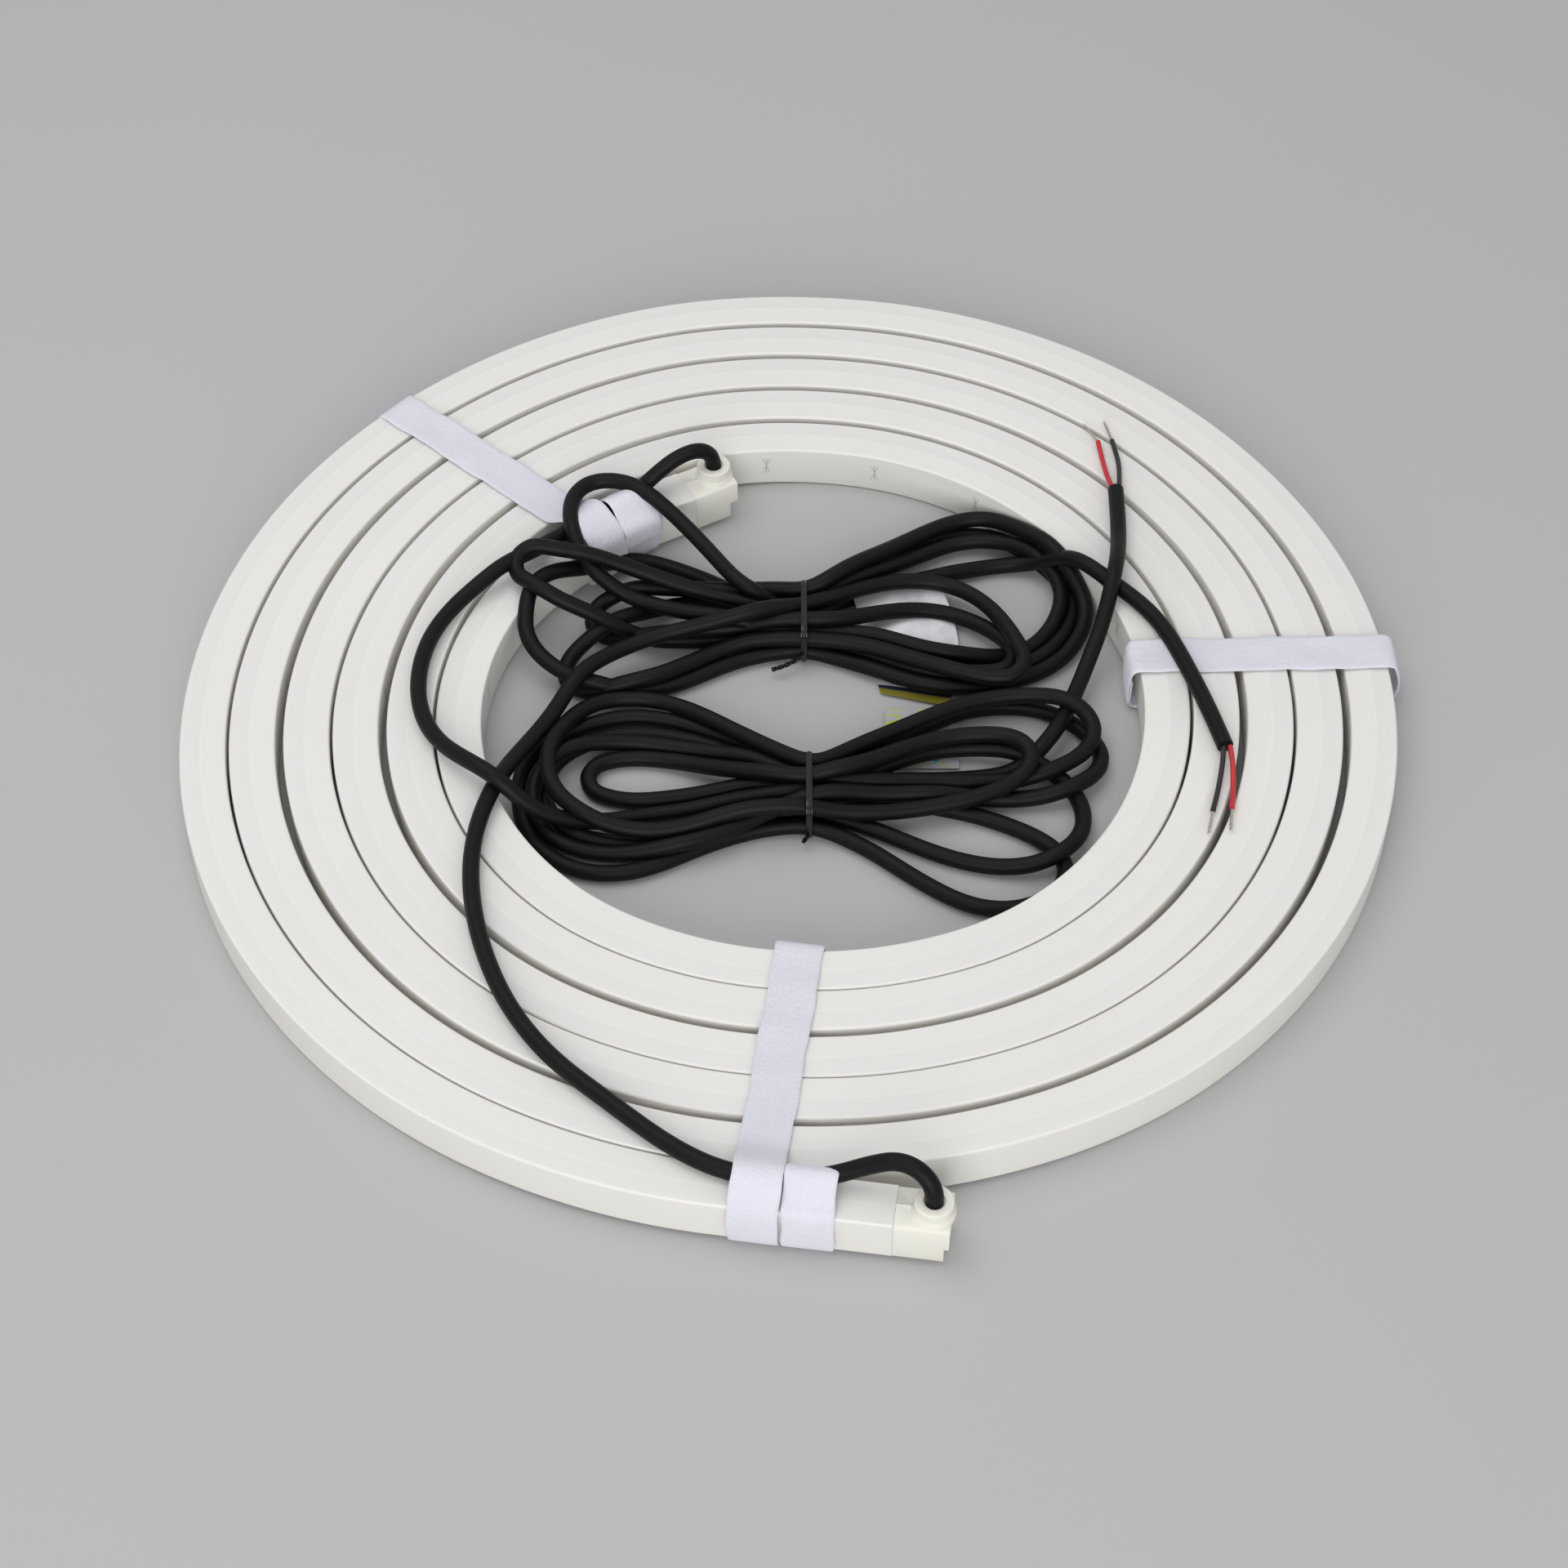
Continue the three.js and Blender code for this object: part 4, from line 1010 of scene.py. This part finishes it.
# a tail is how far the loose end hangs, stands off and leaves the wall bare
straps = {
    "strap_left_long": {"heading": 138.6, "offset": -9.1, "width": 15, "hump": 102.6, "reach": 13,
                        "tail": (14, 2.4, 0.05), "bulge": 1.2, "seed": 1},
    "strap_left_short": {"heading": 126.4, "offset": -3.1, "width": 15, "hump": 102.3, "reach": 9.2,
                         "tail": (9, 0.9, 0.05), "bulge": 0.6, "seed": 2},
    "strap_right": {"heading": 1.5, "offset": 12.5, "width": 15, "hump": None, "reach": 1,
                    "tail": (15.2, 0.5, 0.1), "out": 0.4, "inward": 2.2, "bulge": 1.6, "seed": 3},
    "strap_front_long": {"heading": 261.8, "offset": 13.9, "width": 15, "hump": 186.4, "reach": 13,
                         "tail": (10, 0.9, 0.05), "bulge": 1.0, "seed": 4},
    "strap_front_short": {"heading": 262.2, "offset": 27.8, "width": 15.4, "hump": 185.7, "reach": 9.2,
                          "tail": (9, 0.8, 0.05), "bulge": 0.8, "seed": 5},
}
# waves in the tape: the size and length of each, and how far it slants across
tapeWaves = {"edge": ((0.22, 5.1, 3), (0.12, 1.9, 0)), "ripple": ((0.1, 4.3, 5), (0.08, 9, -7)),
             "curl": (0.25, 14), "hem": 0.3, "flatBelow": 3, "flatShare": 0.05}


def strapTop(facts, low, high):
    # over the turns, with a rise over a cable and a slight dip over each gap
    for along in np.arange(low + strap["corner"], high - strap["corner"] + 0.1, strap["topStep"]):
        rise = 0
        if facts["hump"] is not None:
            away = min(1, abs(along - facts["hump"]) / facts["reach"])
            rise = strap["humpRise"] * (1 + math.cos(away * math.pi)) / 2
        dip = strap["dip"] * (1 - math.cos(2 * math.pi * (along - low) / flex["turnPitch"]))
        yield along, strap["top"] + rise - dip * (rise < 0.3)


def strapProfile(facts, low, high):
    # from the loose end on the inner side, over the top, round and back up the inner side
    bend, top, floor = strap["corner"], strap["top"], strap["floor"]
    drop, stand, slack = facts["tail"]
    edge, bulge = low - facts.get("out", 1.0), facts["bulge"]
    spots = [(low - stand, top - drop), (low - 0.4 * stand - 0.6, top - drop * 0.6), (edge, top - bend),
             (edge + 0.3 * bend, top - 0.3 * bend)]
    spots += strapTop(facts, low, high)
    spots += [(high - 0.3 * bend, top - 0.3 * bend), (high, top - bend), (high + bulge, top * 0.55),
              (high + bulge * 0.4, floor + bend), (high - 0.6 * bend, floor)]
    spots += [(along, floor) for along in np.arange(high - 6, low + 5, -strap["floorStep"])]
    spots += [(low + slack + bend, floor), (low + slack + 0.3 * bend, floor + 0.3 * bend),
              (low + slack, floor + bend), (low + slack, top * 0.5),
              (low + 0.6 * slack + 0.1, top - bend * 2.2)]
    return smoothLine(np.array([(along, 0, z) for along, z in spots], float), strap["step"])[:, [0, 2]]


def waves(kind, along, share, phases):
    return sum(size * np.sin(along / length + phase + share * slant)
               for (size, length, slant), phase in zip(tapeWaves[kind], phases))


def tapeColumn(facts, profile, share, phases):
    # one line of points along the tape, at a share of its width from the middle
    heading = np.array([math.cos(math.radians(facts["heading"])), math.sin(math.radians(facts["heading"]))])
    across = np.array([-heading[1], heading[0]])
    slope = np.gradient(profile, axis=0)
    normal = unitRows(np.column_stack([-slope[:, 1], slope[:, 0]]))
    along = np.arange(len(profile)) * strap["step"]
    edge = waves("edge", along, share, phases[:2])
    ripple = waves("ripple", along, share, phases[2:4])
    size, length = tapeWaves["curl"]
    curl = size * (2 * share) ** 2 * (0.5 + 0.5 * np.sin(along / length + phases[4]))
    spread = share * (facts["width"] - tapeWaves["hem"]) + edge * abs(2 * share) ** 3 * np.sign(share)
    onTop = profile[:, 1] > tapeWaves["flatBelow"]
    lift = np.where(onTop, ripple + curl, tapeWaves["flatShare"] * ripple)
    plan = profile[:, :1] * heading + (facts["offset"] + spread)[:, None] * across
    plan = plan - (normal[:, 0] * lift)[:, None] * heading
    high = np.maximum(profile[:, 1] + normal[:, 1] * lift, strap["floor"])
    return placeAll(np.column_stack([plan, high]))


def makeStrap(node):
    facts = straps[node]
    heading = np.array([math.cos(math.radians(facts["heading"])), math.sin(math.radians(facts["heading"]))])
    middle = np.array([windingMiddle["x"], windingMiddle["y"]])
    corners = np.array([tuple(vert.co)[:2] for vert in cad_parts[node].data.vertices]) / mm - middle
    reach = corners @ heading
    inset = strap["thickness"] / 2 + strap["clearance"]
    profile = strapProfile(facts, reach.min() + inset + facts.get("inward", 0), reach.max() - inset)
    phases = np.random.default_rng(facts["seed"]).uniform(0, 2 * math.pi, 6)
    points = []
    for column in range(strap["across"] + 1):
        points += tapeColumn(facts, profile, column / strap["across"] - 0.5, phases)
    count = len(profile)
    starts = [column * count + row for column in range(strap["across"]) for row in range(count - 1)]
    faces = [(at, at + count, at + count + 1, at + 1) for at in starts]
    piece = meshPiece(node + "_tape", points, faces)
    layer = piece.data.uv_layers.new(name="tapeMap")
    for polygon in piece.data.polygons:
        for loop in polygon.loop_indices:
            column, row = divmod(piece.data.loops[loop].vertex_index, count)
            layer.data[loop].uv = (row * strap["step"] * mm, column / strap["across"] * facts["width"] * mm)
    thicken(piece, strap["thickness"])
    soft = piece.modifiers.new("soft", "SUBSURF")
    soft.levels = soft.render_levels = 1
    applyAll(piece)
    smoothShade(piece, 60)
    return piece, lineLength(profile)


def makeTapeFabric():
    material, tree, shader = startMaterial("tapeFabric", 0.9, Sheen_Weight=0.35, Sheen_Roughness=0.6)
    spot = addMap(tree, "tapeMap")
    loops = addNoise(tree, spot, 1400.0, 5.0, Roughness=0.75, Distortion=1.2)
    tufts = addCells(tree, spot, 900.0)["Distance"]
    colour = mixColour(tree, loops, (0.70, 0.70, 0.79), (0.87, 0.87, 0.94))
    shade = mixColour(tree, addNoise(tree, spot, 120.0, 3.0), (0.93, 0.93, 0.94), (1, 1, 1))
    tree.links.new(mixColour(tree, 1.0, colour, shade, "MULTIPLY"), shader.inputs["Base Color"])
    addBump(tree, shader, mixValue(tree, 0.4, loops, tufts), 0.7, 0.0006)
    return material


tapeFabric = makeTapeFabric()
for node in straps:
    piece, length = makeStrap(node)
    ready(piece, "strap_fabric", tapeFabric, node)
    print("strap", node, round(length), "mm")


# twist ties: a thin band with a wire in it, round each bundle, its ends twisted together
tie = {"halfWidth": 12.95, "low": 0.55, "high": 15.45, "corner": 3.4, "width": 1.9, "edge": 0.4,
       "wire": 0.95, "bandStep": 1.2, "tailStep": 0.5, "tailApart": 0.42, "tailWide": 0.55, "tailThick": 0.8}
ties = {
    "twist_tie_upper": {"middle": (1, 40), "turns": 2.5,
                        "tail": [(0, -13.4, 6), (-3, -15.2, 5), (-6.5, -16.6, 4), (-10.5, -17.6, 3.2)]},
    "twist_tie_lower": {"middle": (2.3, -35.6), "turns": 1.2,
                        "tail": [(0, -13.4, 5), (-0.8, -14.6, 4.4), (-2, -16, 3.6)]},
}


def tieSection():
    # flat edges with a round wire between them
    wide, edge, wireRadius = tie["width"] / 2, tie["edge"] / 2, tie["wire"] / 2
    spots = [(-wide, -edge), (-wireRadius, -edge)]
    for angle in np.radians([-150, -120, -90, -60, -30]):
        spots.append((wireRadius * math.cos(angle), wireRadius * math.sin(angle) * 1.05))
    spots += [(wireRadius, -edge), (wide, -edge)]
    return spots + [(-x, -y) for x, y in spots]


def sweepSection(name, spots, sides, ups, closed):
    section = tieSection()
    points = [place(*(spot + side * u + up * v)) for spot, side, up in zip(spots, sides, ups)
              for u, v in section]
    count, rows = len(section), len(spots)
    faces = []
    for row in range(rows if closed else rows - 1):
        after = (row + 1) % rows
        for at in range(count):
            beside = (at + 1) % count
            faces.append((row * count + at, row * count + beside, after * count + beside, after * count + at))
    if not closed:
        faces += [tuple(reversed(range(count))), tuple((rows - 1) * count + at for at in range(count))]
    return meshPiece(name, points, faces)


def makeTieBand(node, x, y):
    half, bend = tie["halfWidth"], tie["corner"]
    low, high = tie["low"] + bend, tie["high"] - bend
    outline = []
    for cornerY, cornerZ, start in ((half - bend, low, -90), (half - bend, high, 0),
                                    (bend - half, high, 90), (bend - half, low, 180)):
        for angle in np.radians(np.linspace(start, start + 90, 7)):
            outline.append((x, y + cornerY + bend * math.cos(angle), cornerZ + bend * math.sin(angle)))
    ring = smoothLine(np.array(outline + outline[:1], float), tie["bandStep"])[:-1]
    ahead = unitRows(np.roll(ring, -1, axis=0) - np.roll(ring, 1, axis=0))
    sides = np.tile((1.0, 0.0, 0.0), (len(ring), 1))
    return sweepSection(node + "_band", ring, sides, np.cross(ahead, sides), True)


def makeTie(node):
    facts = ties[node]
    x, y = facts["middle"]
    parts = [makeTieBand(node, x, y)]
    line = smoothLine(np.array([(x + a, y + b, c) for a, b, c in facts["tail"]], float), tie["tailStep"])
    ahead = unitRows(np.gradient(line, axis=0))
    flat = unitRows(np.cross(ahead, (0, 0, 1.0)))
    up = np.cross(flat, ahead)
    turn = np.linspace(0, facts["turns"] * 2 * math.pi, len(line))[:, None]
    sideways = flat * np.cos(turn) + up * np.sin(turn)
    upward = up * np.cos(turn) - flat * np.sin(turn)
    for side in (-1, 1):
        parts.append(sweepSection(f"{node}_tail{side}", line + upward * side * tie["tailApart"],
                                  sideways * tie["tailWide"], upward * tie["tailThick"], False))
    band = joinPieces(parts)
    editAll(band)
    turnFacesOut()
    leaveEdit()
    ready(band, "tie_plastic", tiePlastic, node)
    smoothShade(band, 50)
    return band


tiePieces = {node: makeTie(node) for node in ties}
print("ties made")


# the foil label and the clear tag: thin sheets, one of them with a lifted end
plate = {"columns": 14, "rows": 24, "thickness": 0.12, "liftFrom": 0.45, "liftTo": 0.95}
# bands up from the label's lower end: olive, then a dark blue band that is a painted shadow, then the silver
# foil
labelBandsWithPaintedShadow = [(0.0, (0.32, 0.28, 0.03)), (0.06, (0.03, 0.036, 0.075)), (0.1, (0.86, 0.87, 0.88))]
labelCorners = [(25.8, 14.2, 0.9), (47.3, 8.6, 0.9), (45.2, 62, 5.2), (17.5, 53, 5.2)]
tagCorners = [(27, -18.4, 0.9), (50, -18.4, 0.9), (50, 7.2, 0.9), (27, 7.2, 0.9)]


def makePlate(name, corners, bulge):
    bpy.ops.mesh.primitive_grid_add(x_subdivisions=plate["columns"], y_subdivisions=plate["rows"], size=2)
    piece = bpy.context.object
    piece.name = name
    piece.data.uv_layers.active.name = "plateMap"
    one, two, three, four = (np.array(spot, float) for spot in corners)
    low, high = one[2], four[2]
    for vert in piece.data.vertices:
        u, v = (vert.co.x + 1) / 2, (vert.co.y + 1) / 2
        spot = (one * (1 - u) + two * u) * (1 - v) + (four * (1 - u) + three * u) * v
        spot[0] += bulge * u * math.sin(math.pi * v)
        spot[2] = low + (high - low) * float(smoothStep(v, plate["liftFrom"], plate["liftTo"]))
        vert.co = place(*spot)
    thicken(piece, plate["thickness"])
    applyAll(piece)
    smoothShade(piece, 50)
    return piece


def makeLabelFoil():
    material, tree, shader = startMaterial("labelFoil", 0.32, Metallic=0.35, Coat_Weight=0.25)
    bands = addRamp(tree, splitParts(tree, addMap(tree, "plateMap"))["Y"], labelBandsWithPaintedShadow, "CONSTANT")
    grain = addGroup(tree, surfaceGrain, Fine_Scale=900, Slow_Scale=60)
    # slow light and dark streaks in the foil colour are a painted satin sheen
    paintedSheenStreak = mapRange(tree, grain["Shade"], 0.35, 0.65)
    shade = mixColour(tree, paintedSheenStreak, (0.62, 0.62, 0.64), (1, 1, 1))
    tree.links.new(mixColour(tree, 1.0, bands, shade, "MULTIPLY"), shader.inputs["Base Color"])
    addBump(tree, shader, grain["Height"], 0.15, 0.0003)
    return material


def makeClearFilm():
    # loose curved strokes and small patches of two colours
    material, tree, shader = startMaterial("clearFilm", 0.14, Coat_Weight=0.4)
    spot = addMap(tree, "plateMap")
    wander = addNoise(tree, spot, 2.6, 0.0, Distortion=0.8)
    stroke = maths(tree, "LESS_THAN", distanceFrom(tree, wander, 0.5, 1.0), 0.02)
    cells = addCells(tree, spot, 4.0, Randomness=0.8)
    channels = splitParts(tree, cells["Color"])
    blob = maths(tree, "LESS_THAN", cells["Distance"], 0.3)
    patch = maths(tree, "MULTIPLY", blob, maths(tree, "GREATER_THAN", channels["X"], 0.45))
    which = maths(tree, "GREATER_THAN", channels["Y"], 0.5)
    patchColour = mixColour(tree, which, (0.50, 0.03, 0.03), (0.05, 0.42, 0.45))
    colour = mixColour(tree, stroke, (0.47, 0.48, 0.48), (0.52, 0.56, 0.03))
    tree.links.new(mixColour(tree, patch, colour, patchColour), shader.inputs["Base Color"])
    addBump(tree, shader, addGroup(tree, surfaceGrain, Fine_Scale=500, Slow_Scale=80)["Shade"], 0.2, 0.001)
    return material


labelPiece = makePlate("cable_label_foil", labelCorners, 5.5)
ready(labelPiece, "label_foil", makeLabelFoil(), "cable_label")
tagPiece = makePlate("clear_tag_film", tagCorners, 0.0)
ready(tagPiece, "clear_film", makeClearFilm(), "clear_tag")
print("label and tag made")

# floor, soft overhead light and plain pale surroundings
studio = {"floorColour": 0.505, "floorShade": 0.97, "floorSize": 6, "floorDrop": 0.0002, "world": 0.56,
          "worldColour": (0.97, 0.98, 1.0, 1)}
lamps = {"overheadLamp": {"spot": (-0.3, 0.15, 1.2), "power": 4.4, "size": 1.1},
         "frontFill": {"spot": (-0.1, -1.9, 0.8), "power": 22, "size": 1.6}}


def makeFloor():
    bpy.ops.mesh.primitive_plane_add(size=studio["floorSize"], location=(0, 0, -studio["floorDrop"]))
    floor = bpy.context.object
    floor.name = "floor"
    material, tree, shader = startMaterial("floorPaint", 0.9, Specular_IOR_Level=0.1)
    grain = addGroup(tree, surfaceGrain, Fine_Scale=300, Slow_Scale=3)
    tone = studio["floorColour"]
    colour = mixColour(tree, grain["Shade"], (tone * studio["floorShade"],) * 3, (tone,) * 3)
    tree.links.new(colour, shader.inputs["Base Color"])
    floor.data.materials.append(material)


def makeWorld():
    world = bpy.data.worlds.new("studio")
    bpy.context.scene.world = world
    world.use_nodes = True
    background = world.node_tree.nodes["Background"]
    background.inputs["Color"].default_value = studio["worldColour"]
    background.inputs["Strength"].default_value = studio["world"]


def addLamp(name, facts):
    bpy.ops.object.light_add(type="AREA", location=facts["spot"])
    lamp = bpy.context.object
    lamp.name = name
    lamp.data.energy = facts["power"]
    lamp.data.shape = "DISK"
    lamp.data.size = facts["size"]
    lamp.rotation_euler = (-Vector(facts["spot"])).to_track_quat("-Z", "Y").to_euler()


makeFloor()
makeWorld()
for name, facts in lamps.items():
    addLamp(name, facts)
bpy.context.scene.view_settings.view_transform = "Standard"
print("studio set")
